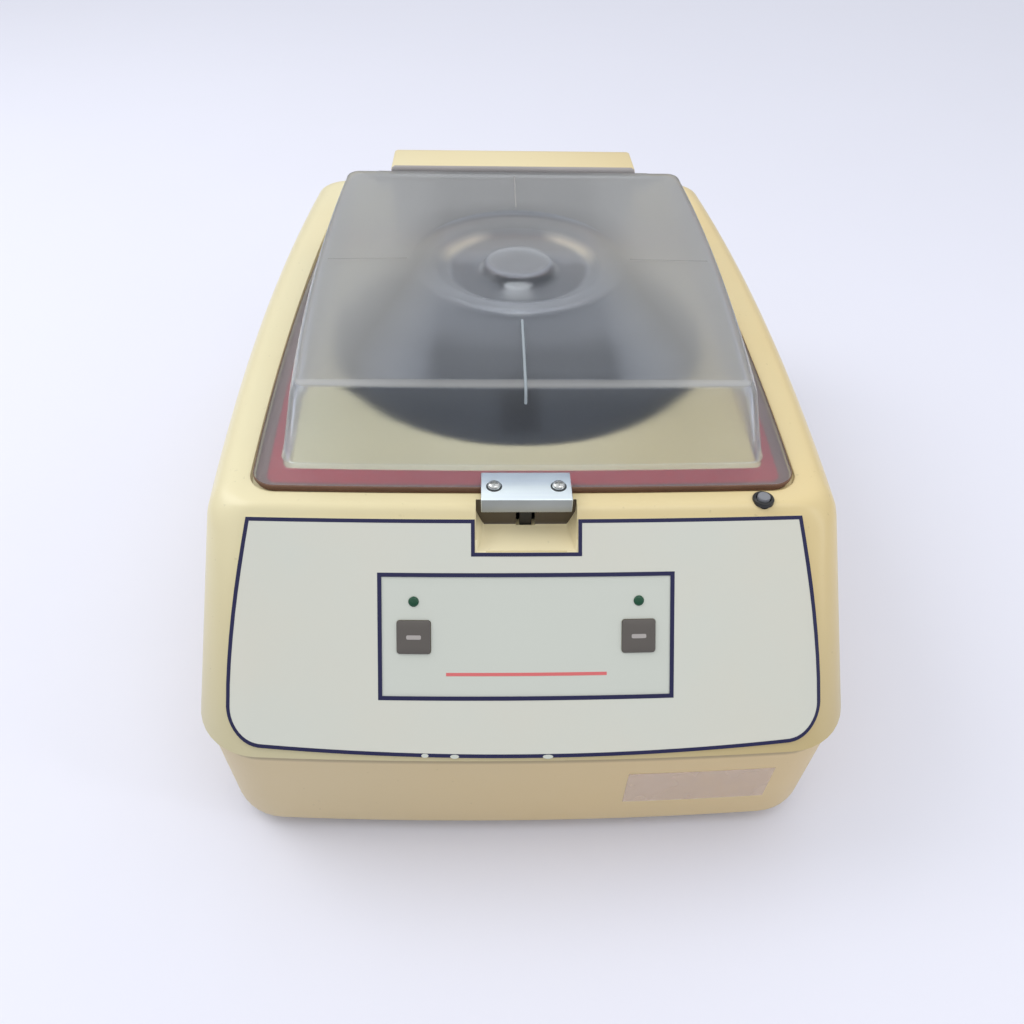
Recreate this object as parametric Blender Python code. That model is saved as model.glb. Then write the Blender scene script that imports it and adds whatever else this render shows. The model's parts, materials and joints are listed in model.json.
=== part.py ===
"""Benchtop microcentrifuge: a tapered base tub, a moulded upper housing with a
sloped control front, a see-through hinged lid over a round rotor chamber, and
the motor, latch and electrics inside.

All sizes are in millimetres and turned into metres when a mesh is made.
X runs to the right, Y to the back and Z up.  The rotor axis is X = Y = 0 and
the feet stand on Z = 0.
"""
from math import atan2, cos, pi, radians, sin, sqrt

import bmesh
import bpy
from mathutils import Matrix, Vector

MM = 0.001

# ---------------------------------------------------------------- dimensions
DECK_Z = 130.0            # flat top of the upper housing
SEAM_Z = 60.0             # joint between housing and base
BASE_Z = 5.0              # underside of the base tub
GAP = 0.3                 # air between pieces that rest on each other
WALL = 3.0                # shell thickness of the mouldings

FRONT_EDGE_Y = -121.5     # where the deck would meet the sloped front
NOSE_Y = -180.0           # foot of the sloped front, at the seam
REAR_Y = 180.0
HALF_DECK = 114.2         # half width near the deck, at the corners
HALF_SEAM = 121.4         # half width at the seam, at the corners
BULGE_DECK = 5.6          # how far the sides bow out halfway along
BULGE_SEAM = 1.8
CORNER_DECK = 13.0        # plan radius of the vertical corners
CORNER_SEAM = 25.0
BOW_DECK = 2.2            # how far the front bows forward in plan
BOW_SEAM = 4.1
SHOULDER = 9.0            # round between the deck and the sides
BROW = 4.0                # round between the deck and the sloped front

LID_FRONT = -115.0
LID_REAR = 93.8
LID_HALF = 98.9
LID_BULGE = 2.6
LID_CORNER = 9.0
LID_WALL = 2.8
FLANGE_BOTTOM = 129.9
FLANGE_TOP = 132.3
DOME_FOOT_FRONT = -100.2
DOME_FOOT_REAR = 91.0
DOME_FOOT_HALF = 89.7
RIDGE_FRONT = -91.4
RIDGE_REAR = 89.3
RIDGE_HALF = 83.8
RIDGE_BULGE = 3.0
RIDGE_Z = 158.9           # height of the lid's front ridge
TOP_RISE = 8.3            # the top climbs this much towards the hinge

WELL_Z = 128.0            # floor of the shallow well that the lid lies in
WELL_MARGIN = 1.0
WELL_REAR = 121.0

HINGE_Y = 97.4
HINGE_Z = 160.0
HINGE_PIN = 1.6           # radius
HUMP_HALF = 62.3
HUMP_FRONT = 94.4
HUMP_CREST_REAR = 118.0
HUMP_TOP = 167.4
HUMP_FOOT_REAR = 166.0

BOWL_HOLE = 84.0          # radius of the opening in the deck
BOWL_FLOOR = 84.0
ROTOR_RADIUS = 76.0
ROTOR_BOTTOM = 96.0
ROTOR_TOP = 122.0
SHAFT_RADIUS = 4.0

RECESS_HALF = 17.9        # finger recess under the latch
RECESS_FLOOR = 117.5
RECESS_BACK = -117.7

LATCH_HALF = 16.0
LATCH_FRONT = -123.2
LATCH_REAR = -108.2
LATCH_TOP = 134.6
LATCH_SCREW_X = 11.4
LATCH_SCREW_Y = -116.0

BUTTON_X = 84.8
BUTTON_Y = -118.2

PANEL_TOP = 4.5           # slant distances down the sloped front
PANEL_BOTTOM = 89.5
PANEL_HALF_TOP = 98.2
PANEL_HALF_LOW = 106.5
NOTCH_HALF = 18.2
NOTCH_DEPTH = 16.2
WINDOW_HALF = 52.5
WINDOW_TOP = 23.4
WINDOW_BOTTOM = 68.8
KEY_SIZE = 11.9
KEY_X = 39.8
KEY_S = 46.2
LED_S = 33.6
LED_RADIUS = 1.85

SHEET_LIFT = 0.4          # air under the overlay and the control window

DROP = DECK_Z - SEAM_Z
FRONT_RUN = FRONT_EDGE_Y - NOSE_Y
SLOPE = atan2(DROP, FRONT_RUN)

# ------------------------------------------------------------------ materials
MATERIALS = {
    "housing": ((0.80, 0.70, 0.42), 0.45, 0.0),
    "base": ((0.66, 0.52, 0.28), 0.5, 0.0),
    "smoke": ((0.22, 0.23, 0.24), 0.12, 0.0),
    "overlay": ((0.72, 0.73, 0.68), 0.5, 0.0),
    "window": ((0.78, 0.77, 0.70), 0.45, 0.0),
    "key": ((0.11, 0.10, 0.09), 0.5, 0.0),
    "led": ((0.02, 0.16, 0.07), 0.2, 0.0),
    "gasket": ((0.40, 0.05, 0.05), 0.7, 0.0),
    "black": ((0.02, 0.02, 0.022), 0.5, 0.0),
    "slate": ((0.05, 0.06, 0.07), 0.4, 0.0),
    "aluminium": ((0.80, 0.80, 0.80), 0.35, 1.0),
    "steel": ((0.62, 0.62, 0.60), 0.3, 1.0),
    "zinc": ((0.50, 0.51, 0.50), 0.45, 1.0),
    "rubber": ((0.03, 0.03, 0.03), 0.85, 0.0),
    "board": ((0.03, 0.20, 0.09), 0.5, 0.0),
    "copper": ((0.55, 0.22, 0.08), 0.4, 1.0),
    "grey": ((0.30, 0.31, 0.33), 0.5, 0.0),
    "magnet": ((0.10, 0.10, 0.11), 0.6, 0.0),
}


def material(name):
    """One Principled material for each entry of MATERIALS."""
    found = bpy.data.materials.get(name)
    if found:
        return found
    colour, roughness, metallic = MATERIALS[name]
    made = bpy.data.materials.new(name)
    made.use_nodes = True
    shader = made.node_tree.nodes["Principled BSDF"]
    shader.inputs["Base Color"].default_value = (*colour, 1.0)
    shader.inputs["Roughness"].default_value = roughness
    shader.inputs["Metallic"].default_value = metallic
    return made


# ---------------------------------------------------------------- mesh helpers
def add(name, bm, finish, origin=(0.0, 0.0, 0.0), smooth=True):
    """Turn a bmesh in millimetres into a named object with its origin set."""
    bmesh.ops.recalc_face_normals(bm, faces=bm.faces)
    if bm.calc_volume(signed=True) < 0:
        bmesh.ops.reverse_faces(bm, faces=bm.faces)
    centre = Vector(origin)
    bmesh.ops.translate(bm, vec=-centre, verts=bm.verts)
    bmesh.ops.scale(bm, vec=(MM, MM, MM), verts=bm.verts)
    mesh = bpy.data.meshes.new(name)
    bm.to_mesh(mesh)
    bm.free()
    if smooth:
        mesh.shade_smooth()
        mesh.set_sharp_from_angle(angle=radians(35))
    mesh.materials.append(material(finish))
    obj = bpy.data.objects.new(name, mesh)
    obj.location = centre * MM
    bpy.context.scene.collection.objects.link(obj)
    return obj


def boolean(target, name, bm, operation):
    """Join or cut the target with a hidden helper body."""
    helper = add(name, bm, "black", smooth=False)
    helper.hide_render = True
    helper.display_type = "WIRE"
    step = target.modifiers.new(name, "BOOLEAN")
    step.operation = operation
    step.object = helper


def loft(rings):
    """Skin a list of rings of equal length and cap both ends."""
    bm = bmesh.new()
    loops = [[bm.verts.new(point) for point in ring] for ring in rings]
    count = len(loops[0])
    for low, high in zip(loops, loops[1:]):
        for i in range(count):
            j = (i + 1) % count
            bm.faces.new((low[i], low[j], high[j], high[i]))
    bm.faces.new(reversed(loops[0]))
    bm.faces.new(loops[-1])
    return bm


def tube(rings):
    """Skin a closed chain of rings, so that the last one meets the first."""
    bm = bmesh.new()
    loops = [[bm.verts.new(point) for point in ring] for ring in rings]
    count = len(loops[0])
    for low, high in zip(loops, loops[1:] + loops[:1]):
        for i in range(count):
            j = (i + 1) % count
            bm.faces.new((low[i], low[j], high[j], high[i]))
    return bm


def box(low, high):
    """An axis-aligned block between two corners."""
    bm = bmesh.new()
    extend_box(bm, low, high)
    return bm


def extend_box(bm, low, high):
    size = [b - a for a, b in zip(low, high)]
    middle = [(a + b) / 2 for a, b in zip(low, high)]
    place = Matrix.Translation(middle) @ Matrix.Diagonal((*size, 1.0))
    bmesh.ops.create_cube(bm, size=1.0, matrix=place)


def boxes(corners):
    """Several separate blocks in one mesh, for a helper body."""
    bm = bmesh.new()
    for low, high in corners:
        extend_box(bm, low, high)
    return bm


def circle(radius, z, centre=(0.0, 0.0), segments=24):
    turn = 2 * pi / segments
    return [(centre[0] + radius * cos(i * turn), centre[1] + radius * sin(i * turn), z)
            for i in range(segments)]


def turned(profile, centre=(0.0, 0.0), segments=24):
    """A body turned about a vertical axis.  A profile (radius, z) that starts
    and ends on the axis is solid; any other is a closed ring section."""
    if profile[0][0] == 0.0:
        inner = profile[1:-1]
        return loft([circle(r, z, centre, segments) for r, z in inner])
    return tube([circle(r, z, centre, segments) for r, z in profile])


def posts(places, radius, low, high, segments=16):
    """Separate upright cylinders in one mesh, for a helper body."""
    bm = bmesh.new()
    for x, y in places:
        place = Matrix.Translation((x, y, (low + high) / 2))
        bmesh.ops.create_cone(bm, cap_ends=True, segments=segments, radius1=radius,
                              radius2=radius, depth=high - low, matrix=place)
    return bm


def prism_x(profile, x_low, x_high):
    """A (y, z) outline drawn out along X."""
    return loft([[(x, y, z) for y, z in profile] for x in (x_low, x_high)])


def prism_z(outline_points, z_low, z_high):
    return loft([[(x, y, z) for x, y in outline_points] for z in (z_low, z_high)])


def lying_cylinder(profile, centre, axis="Y", segments=20):
    """A solid body turned about a level axis; profile is (radius, distance)."""
    turn = 2 * pi / segments
    rings = []
    for radius, along in profile:
        ring = []
        for i in range(segments):
            a, b = radius * cos(i * turn), radius * sin(i * turn)
            offset = (a, along, b) if axis == "Y" else (along, a, b)
            ring.append(tuple(c + o for c, o in zip(centre, offset)))
        rings.append(ring)
    return loft(rings)


# --------------------------------------------------------------- plan outlines
FRONT_STEPS = 6
CORNER_STEPS = 7
SIDE_STEPS = 8
REAR_STEPS = 4


def outline(front, rear, half, radius, bulge=0.0, bow=0.0):
    """Plan outline of a rounded rectangle whose sides bulge and whose front
    bows forward, anticlockwise from the middle of the front."""
    flat = half - radius
    side_low, side_high = front + radius, rear - radius
    middle = (front + rear) / 2
    right = [(flat * i / FRONT_STEPS, front) for i in range(FRONT_STEPS)]
    for i in range(CORNER_STEPS):
        a = pi / 2 * i / CORNER_STEPS
        right.append((flat + radius * sin(a), front + radius * (1 - cos(a))))
    for i in range(SIDE_STEPS):
        right.append((half, side_low + (side_high - side_low) * i / SIDE_STEPS))
    for i in range(CORNER_STEPS):
        a = pi / 2 * i / CORNER_STEPS
        right.append((flat + radius * cos(a), side_high + radius * sin(a)))
    right += [(flat * (1 - i / REAR_STEPS), rear) for i in range(REAR_STEPS + 1)]
    bent = []
    for x, y in right:
        t = min(1.0, max(-1.0, (y - middle) / (side_high - middle)))
        fade = min(1.0, max(0.0, (middle - y) / (middle - side_low)))
        bent.append((x * (1 + bulge / half * (1 - t * t)), y + bow * fade * (x / half) ** 2))
    left = [(-x, y) for x, y in reversed(bent[1:-1])]
    return bent + left


def level(points, z):
    return [(x, y, z) for x, y in points]


def blend(a, b, t):
    return a + (b - a) * t


# ------------------------------------------------------- the housing's surface
def fall(z):
    """How far down from the deck to the seam a height is, from 0 to 1."""
    return (DECK_Z - z) / DROP


def front_y(z, inset=0.0):
    """The sloped front's Y at a height, with the round brow at the deck."""
    depth = DECK_Z - z
    tangent = BROW * (1 - cos(SLOPE))
    if depth < tangent:
        start = FRONT_EDGE_Y + BROW * half_tan(SLOPE)
        return start - sqrt(max(0.0, BROW ** 2 - (BROW - depth) ** 2)) + inset
    return FRONT_EDGE_Y - depth / DROP * FRONT_RUN + inset


def half_tan(angle):
    return sin(angle) / (1 + cos(angle))


def shoulder(z):
    """How far the round shoulder draws the sides and back in at a height."""
    depth = DECK_Z - z
    if depth >= SHOULDER:
        return 0.0
    return SHOULDER - sqrt(SHOULDER ** 2 - (SHOULDER - depth) ** 2)


def half_width(z):
    return blend(HALF_DECK, HALF_SEAM, fall(z)) - shoulder(z)


def corner_radius(z):
    return blend(CORNER_DECK, CORNER_SEAM, fall(z))


def bow(z):
    return blend(BOW_DECK, BOW_SEAM, fall(z))


def housing_ring(z, wall=0.0):
    """The housing's outline at a height, or its inside a wall further in."""
    slant_wall = wall / sin(SLOPE)
    rear = REAR_Y - shoulder(z) - 2.0 * (1 - fall(z)) - wall
    half = half_width(z) - wall
    bulge = blend(BULGE_DECK, BULGE_SEAM, fall(z))
    radius = corner_radius(z) - min(wall, 3.0)
    return level(outline(front_y(z, slant_wall), rear, half, radius, bulge, bow(z)), z)


def on_front(x, slant, height):
    """A point on the sloped front: X, distance down the slope from the deck
    edge, and distance out from the surface."""
    z = DECK_Z - slant * sin(SLOPE)
    half = half_width(z)
    radius = corner_radius(z)
    beyond = max(0.0, abs(x) - (half - radius))
    corner = radius - sqrt(max(0.0, radius ** 2 - beyond ** 2))
    y = FRONT_EDGE_Y - slant * cos(SLOPE) + bow(z) * (x / half) ** 2 + corner
    lean = 2 * bow(z) * x / half ** 2
    if beyond:
        lean += (1 if x > 0 else -1) * beyond / sqrt(max(1.0, radius ** 2 - beyond ** 2))
    normal = Vector((lean * sin(SLOPE), -sin(SLOPE), cos(SLOPE))).normalized()
    return Vector((x, y, z)) + normal * height


# ------------------------------------------------------------ housing and base
SCREW_PLACES = [(102.0, -116.0), (-102.0, -116.0), (100.0, 152.0), (-100.0, 152.0)]
MOUNT_PLACES = [(58.0, -58.0), (-58.0, -58.0), (58.0, 58.0), (-58.0, 58.0)]
FOOT_PLACES = [(92.0, -146.0), (-92.0, -146.0), (92.0, 150.0), (-92.0, 150.0)]
DECK_UNDERSIDE = 124.5
SCREW_POST = 6.0          # radius of the moulded posts
SCREW_BORE = 2.0
SEAM_GAP = 0.4            # open joint between housing and base
HUMP_BROW = 5.5           # round at the top front of the hinge hump
HUMP_INSIDE = 8.0         # side wall of the hump, beside the hinge pins
RECESS_WALL = 3.0
HOOK_SLOT_HALF = 3.5      # slot in the recess for the tongue and the bolt
HOOK_SLOT_REAR = -112.3
BUTTON_HOLE = 3.3
PIN_FIT = 0.15            # air round a hinge pin in the hump
BOWL_SEGMENTS = 48


def hump_profile(inset=0.0):
    """Side view of the hinge hump: upright front, rounded brow, long back."""
    top = HUMP_TOP - inset
    front = HUMP_FRONT + inset
    brow = HUMP_BROW
    points = [(HUMP_FOOT_REAR - 2.2 * inset, DECK_UNDERSIDE - 0.5),
              (front, DECK_UNDERSIDE - 0.5), (front, top - brow)]
    for i in range(1, 6):
        a = pi / 2 * i / 5
        points.append((front + brow * (1 - cos(a)), top - brow + brow * sin(a)))
    points += [(HUMP_CREST_REAR - inset, top), (HUMP_CREST_REAR + 6 - 1.4 * inset, top - 2.6)]
    points.append((HUMP_FOOT_REAR - 2.2 * inset, DECK_Z + 1.0))
    return points


def make_upper_housing():
    """Moulded cover: deck, sloped front, hinge hump and finger recess."""
    outer_z = [130.0, 129.4, 128.4, 127.0, 125.0, 123.0, 121.0, 100.0, 80.0, SEAM_Z]
    inner_z = [SEAM_Z, 90.0, 112.0, DECK_UNDERSIDE]
    rings = [housing_ring(z) for z in outer_z] + [housing_ring(z, WALL) for z in inner_z]
    shell = add("upper_housing", loft(rings), "housing")

    boolean(shell, "hump_outside", prism_x(hump_profile(), -HUMP_HALF, HUMP_HALF), "UNION")
    inside = prism_x([(y, z - 1.0) for y, z in hump_profile(WALL)],
                     HUMP_INSIDE - HUMP_HALF, HUMP_HALF - HUMP_INSIDE)
    boolean(shell, "hump_inside", inside, "DIFFERENCE")

    low, high = RECESS_FLOOR - RECESS_WALL, DECK_UNDERSIDE + 1.0
    behind, back = 1.6, RECESS_BACK + RECESS_WALL - 0.8
    block = [(front_y(low, behind), low), (back, low), (back, high), (front_y(high, behind), high)]
    reach = RECESS_HALF + RECESS_WALL
    boolean(shell, "recess_block", prism_x(block, -reach, reach), "UNION")
    housing_posts = posts(SCREW_PLACES, SCREW_POST, SEAM_Z + SEAM_GAP, DECK_UNDERSIDE + 1.0)
    boolean(shell, "screw_posts", housing_posts, "UNION")

    above = DECK_Z + 10.0
    cuts = [((-RECESS_HALF, -150.0, RECESS_FLOOR), (RECESS_HALF, RECESS_BACK, above)),
            ((-HOOK_SLOT_HALF, RECESS_BACK - 1.0, RECESS_FLOOR),
             (HOOK_SLOT_HALF, HOOK_SLOT_REAR, above + 1.0))]
    for i, corners in enumerate(cuts):
        boolean(shell, f"recess_cut_{i + 1}", boxes([corners]), "DIFFERENCE")

    well = outline(LID_FRONT - WELL_MARGIN, WELL_REAR, LID_HALF + WELL_MARGIN,
                   LID_CORNER + WELL_MARGIN, LID_BULGE, 1.7)
    well_cut = prism_z(well, WELL_Z, DECK_Z + 4.0)
    hump_keep = box((-HUMP_HALF - 0.05, HUMP_FRONT - 0.05, WELL_Z - 1.0),
                    (HUMP_HALF + 0.05, WELL_REAR + 30.0, DECK_Z + 5.0))
    keep = add("well_keep", hump_keep, "black", smooth=False)
    keep.hide_render = True
    keep.display_type = "WIRE"
    boolean(shell, "well_cut", well_cut, "DIFFERENCE")
    well_object = bpy.data.objects["well_cut"]
    spare = well_object.modifiers.new("well_keep", "BOOLEAN")
    spare.operation = "DIFFERENCE"
    spare.object = keep

    bowl_hole = posts([(0.0, 0.0)], BOWL_HOLE, DECK_UNDERSIDE - 5, DECK_Z + 3, BOWL_SEGMENTS)
    boolean(shell, "bowl_hole", bowl_hole, "DIFFERENCE")
    boolean(shell, "screw_bores", posts(SCREW_PLACES, SCREW_BORE, SEAM_Z - 1.0, 80.0), "DIFFERENCE")
    button = posts([(BUTTON_X, BUTTON_Y)], BUTTON_HOLE, DECK_UNDERSIDE - 10, above)
    boolean(shell, "button_hole", button, "DIFFERENCE")
    bore = HINGE_PIN + PIN_FIT
    pins = lying_cylinder([(bore, -HUMP_HALF - 2), (bore, HUMP_HALF + 2)],
                          (0.0, HINGE_Y, HINGE_Z), axis="X", segments=16)
    boolean(shell, "pin_bore", pins, "DIFFERENCE")


BASE_FILLET = 6.0         # round between the tub's sides and its underside
BASE_RAKE = 3.0           # the front draws in this much towards the floor
BASE_TAPER = 2.0          # and each side this much
SEAM_STEP = 1.4           # the base stands this far inside the housing's edge


def base_ring(z, wall=0.0):
    """The base tub's outline at a height: it tapers in towards the floor."""
    t = max(0.0, (SEAM_Z - z) / (SEAM_Z - BASE_Z))
    rise = max(0.0, BASE_Z + BASE_FILLET - z)
    round_in = BASE_FILLET - sqrt(BASE_FILLET ** 2 - rise ** 2) if rise else 0.0
    front = NOSE_Y + SEAM_STEP + BASE_RAKE * t + round_in + wall
    rear = REAR_Y - SEAM_STEP - round_in - wall
    half = HALF_SEAM - SEAM_STEP - BASE_TAPER * t - round_in - wall
    radius = CORNER_SEAM - 3.0 * t - min(round_in, 5.0) - min(wall, 3.0)
    return level(outline(front, rear, half, radius, BULGE_SEAM, BOW_SEAM), z)


REAR_OPENING = ((-91.0, 170.0, 18.0), (26.0, 190.0, 50.0))
VENT_COUNT = 7
VENT_PITCH = 12.0
VENT_HALF = 2.2
MOTOR_POST_TOP = 52.0


def make_base_shell():
    """Tapered tub with motor posts, screw posts and floor vents."""
    floor = BASE_Z + 3.5
    outer_z = [BASE_Z, 5.8, 7.6, 11.0, 35.0, SEAM_Z - SEAM_GAP]
    inner_z = [SEAM_Z - SEAM_GAP, 35.0, 14.0, 10.0, floor]
    rings = [base_ring(z) for z in outer_z] + [base_ring(z, WALL) for z in inner_z]
    shell = add("base_shell", loft(rings), "base")
    motor_posts = posts(MOUNT_PLACES, 7.0, floor - 1.0, MOTOR_POST_TOP)
    boolean(shell, "motor_posts", motor_posts, "UNION")
    base_posts = posts(SCREW_PLACES, SCREW_POST, floor - 1.0, SEAM_Z - SEAM_GAP)
    boolean(shell, "base_posts", base_posts, "UNION")
    boolean(shell, "base_bores", posts(SCREW_PLACES, SCREW_BORE, 0.0, SEAM_Z + 1.0), "DIFFERENCE")
    boolean(shell, "head_pockets", posts(SCREW_PLACES, 4.2, 0.0, 12.0), "DIFFERENCE")
    boolean(shell, "rear_opening", boxes([REAR_OPENING]), "DIFFERENCE")
    vents = []
    for i in range(VENT_COUNT):
        x = VENT_PITCH * (i - (VENT_COUNT - 1) / 2)
        vents.append(((x - VENT_HALF, -100.0, 0.0), (x + VENT_HALF, -66.0, 12.0)))
    boolean(shell, "floor_vents", boxes(vents), "DIFFERENCE")


FOOT_RADIUS = 9.5


def make_feet_and_screws():
    for i, (x, y) in enumerate(FOOT_PLACES):
        top = BASE_Z - GAP
        profile = [(0.0, 0.0), (FOOT_RADIUS - 0.9, 0.0), (FOOT_RADIUS, 1.0), (FOOT_RADIUS, top), (0.0, top)]
        add(f"foot_{i + 1}", turned(profile, (x, y)), "rubber", (x, y, 0.0))
    for i, (x, y) in enumerate(SCREW_PLACES):
        profile = [(0.0, 8.0), (3.7, 8.0), (3.7, 11.7), (1.7, 11.7), (1.7, 76.0), (0.0, 76.0)]
        add(f"housing_screw_{i + 1}", turned(profile, (x, y), 14), "zinc", (x, y, 8.0))


# ------------------------------------------------------------------ front panel
def panel_outline():
    """The overlay's outline in (X, slant): notched at the top for the finger
    recess, leaning sides, round lower corners and a bottom that sags."""
    sag = 2.4
    low = PANEL_BOTTOM - sag
    radius = 13.0
    points = [(NOTCH_HALF, PANEL_TOP), (PANEL_HALF_TOP, PANEL_TOP)]
    for i in range(1, 5):
        t = i / 4
        x = blend(PANEL_HALF_TOP, PANEL_HALF_LOW, 1 - (1 - t) ** 1.6)
        points.append((x, blend(PANEL_TOP, low - radius, t)))
    for i in range(1, 9):
        a = pi / 2 * i / 8
        points.append((PANEL_HALF_LOW - radius * (1 - cos(a)), low - radius * (1 - sin(a))))
    reach = PANEL_HALF_LOW - radius
    for i in range(1, 7):
        x = reach * (1 - i / 6)
        points.append((x, PANEL_BOTTOM - sag * (x / reach) ** 2))
    left = [(-x, s) for x, s in reversed(points[:-1])]
    notch = [(-NOTCH_HALF, NOTCH_DEPTH), (NOTCH_HALF, NOTCH_DEPTH)]
    return points + left + notch


def rectangle(half, top, bottom, centre=0.0):
    return [(centre - half, top), (centre + half, top), (centre + half, bottom),
            (centre - half, bottom)]


def sheet_on_front(loops, low, high, columns=()):
    """A thin sheet that hugs the sloped front.  The first loop is its edge
    and the others are holes, all in (X, slant)."""
    bm = bmesh.new()
    edges = []
    for loop in loops:
        verts = [bm.verts.new((x, s, 0.0)) for x, s in loop]
        edges += [bm.edges.new((a, b)) for a, b in zip(verts, verts[1:] + verts[:1])]
    bmesh.ops.triangle_fill(bm, use_beauty=True, use_dissolve=True, edges=edges)
    for x in columns:
        bmesh.ops.bisect_plane(bm, geom=bm.verts[:] + bm.edges[:] + bm.faces[:],
                               plane_co=(x, 0.0, 0.0), plane_no=(1.0, 0.0, 0.0), dist=1e-5)
    for slant in (5.0, *range(8, 88, 8)):
        bmesh.ops.bisect_plane(bm, geom=bm.verts[:] + bm.edges[:] + bm.faces[:],
                               plane_co=(0.0, slant, 0.0), plane_no=(0.0, 1.0, 0.0), dist=1e-5)
    flat_verts = bm.verts[:]
    made = bmesh.ops.extrude_face_region(bm, geom=bm.faces[:])
    raised = [item for item in made["geom"] if isinstance(item, bmesh.types.BMVert)]
    for vert in flat_verts:
        if vert.is_valid:
            vert.co = on_front(vert.co.x, vert.co.y, low)
    for vert in raised:
        vert.co = on_front(vert.co.x, vert.co.y, high)
    return bm


def block_on_front(x, slant, half_x, half_s, low, high):
    """A small block seated on the sloped front."""
    corners = rectangle(half_x, slant - half_s, slant + half_s, x)
    return loft([[on_front(px, ps, h) for px, ps in corners] for h in (low, high)])


def round_on_front(x, slant, profile, segments=16):
    """A round body standing on the sloped front; profile is (radius, height)."""
    turn = 2 * pi / segments
    rings = []
    for radius, height in profile:
        rings.append([on_front(x + radius * cos(i * turn), slant + radius * sin(i * turn), height)
                      for i in range(segments)])
    return loft(rings)


def make_front_panel():
    clear = 0.4
    hole = rectangle(WINDOW_HALF + clear, WINDOW_TOP - clear, WINDOW_BOTTOM + clear)
    right_columns = (12.0, 35.0, 60.0, 80.0, 92.0, 96.0, 100.0, 103.0)
    columns = [side * x for side in (-1, 1) for x in right_columns]
    overlay = sheet_on_front([panel_outline(), hole], SHEET_LIFT, 0.9, columns)
    add("front_overlay", overlay, "overlay", smooth=False)

    frame = rectangle(WINDOW_HALF, WINDOW_TOP, WINDOW_BOTTOM)
    openings = []
    for side in (-1, 1):
        half = KEY_SIZE / 2 + clear
        openings.append(rectangle(half, KEY_S - half, KEY_S + half, side * KEY_X))
        ring = [(side * KEY_X + (LED_RADIUS + clear) * cos(2 * pi * i / 12),
                 LED_S + (LED_RADIUS + clear) * sin(2 * pi * i / 12)) for i in range(12)]
        openings.append(ring)
    window = sheet_on_front([frame] + openings, SHEET_LIFT, 1.0, [-18.0, 0.0, 18.0])
    add("control_window", window, "window", smooth=False)

    for side, word in ((-1, "left"), (1, "right")):
        x = side * KEY_X
        half = KEY_SIZE / 2
        key = block_on_front(x, KEY_S, half, half, 0.8, 1.5)
        add(f"key_{word}", key, "key", on_front(x, KEY_S, 0.8), smooth=False)
        lens = [(LED_RADIUS, GAP), (LED_RADIUS, 1.1), (LED_RADIUS * 0.6, 1.5)]
        add(f"led_{word}", round_on_front(x, LED_S, lens), "led")


# --------------------------------------------------------------------- the lid
def dome_ring(t, wall=0.0):
    """The lid's raised part: t runs from 0 at its foot to 1 at the ridge."""
    front = blend(DOME_FOOT_FRONT, RIDGE_FRONT, t) + wall
    rear = blend(DOME_FOOT_REAR, RIDGE_REAR, t) - wall
    half = blend(DOME_FOOT_HALF, RIDGE_HALF, t) - wall
    bulge = blend(LID_BULGE, RIDGE_BULGE, t)
    corner = max(2.0, 8.0 - wall)
    points = outline(front, rear, half, corner, bulge, blend(1.5, 1.0, t))
    ring = []
    for x, y in points:
        climb = TOP_RISE * (y - RIDGE_FRONT) / (RIDGE_REAR - RIDGE_FRONT)
        ridge = RIDGE_Z + climb - wall
        foot = FLANGE_TOP if wall == 0.0 else FLANGE_BOTTOM
        ring.append((x, y, blend(foot, ridge, t)))
    return ring


def top_ring(inset, drop):
    """A ring of the lid's top, inset from the ridge to round its edge."""
    points = outline(RIDGE_FRONT + inset, RIDGE_REAR - inset, RIDGE_HALF - inset,
                     8.0, RIDGE_BULGE, 1.0)
    ring = []
    for x, y in points:
        climb = TOP_RISE * (y - RIDGE_FRONT) / (RIDGE_REAR - RIDGE_FRONT)
        ring.append((x, y, RIDGE_Z + climb - drop))
    return ring


def flange_ring(z, inset=0.0):
    points = outline(LID_FRONT + inset, LID_REAR - inset, LID_HALF - inset,
                     LID_CORNER - min(inset, 5.0), LID_BULGE, 1.7)
    return level(points, z)


def make_lid():
    """See-through lid: flat flange, raised dome and two hinge lugs."""
    edge = 3.0
    rings = [top_ring(edge, 0.0), top_ring(edge * 0.3, edge * 0.28)]
    rings += [dome_ring(0.9), dome_ring(0.5), dome_ring(0.0)]
    rings += [flange_ring(FLANGE_TOP, 0.5), flange_ring(FLANGE_TOP - 0.5)]
    rings += [flange_ring(FLANGE_BOTTOM), dome_ring(0.0, LID_WALL), dome_ring(0.9, LID_WALL)]
    rings.append([(x * 0.97, y * 0.97, z + 0.6) for x, y, z in dome_ring(0.99, LID_WALL)])
    pivot = (0.0, HINGE_Y, HINGE_Z)
    lid = add("lid_shell", loft(rings), "smoke", pivot)
    lug_inner, lug_outer = HUMP_HALF + 0.9, HUMP_HALF + 6.9
    arm = []
    for i in range(9):
        a = -pi / 2 + pi * i / 8
        arm.append((HINGE_Y + 3.6 * cos(a), HINGE_Z + 3.6 * sin(a)))
    arm += [(86.9, HINGE_Z + 3.6), (86.9, HINGE_Z - 3.6)]
    for side, word in ((-1, "left"), (1, "right")):
        low, high = sorted((side * lug_inner, side * lug_outer))
        boolean(lid, f"lug_{word}", prism_x(arm, low, high), "UNION")
    bore = lying_cylinder([(HINGE_PIN + 0.35, -HUMP_HALF - 12), (HINGE_PIN + 0.35, HUMP_HALF + 12)],
                          pivot, axis="X", segments=16)
    boolean(lid, "lug_bores", bore, "DIFFERENCE")
    for side, word in ((-1, "left"), (1, "right")):
        low, high = sorted((side * (HUMP_HALF - 12), side * (lug_outer - 0.4)))
        pin = lying_cylinder([(HINGE_PIN, low), (HINGE_PIN, high)], pivot, axis="X", segments=16)
        add(f"hinge_pin_{word}", pin, "steel", pivot)


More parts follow.
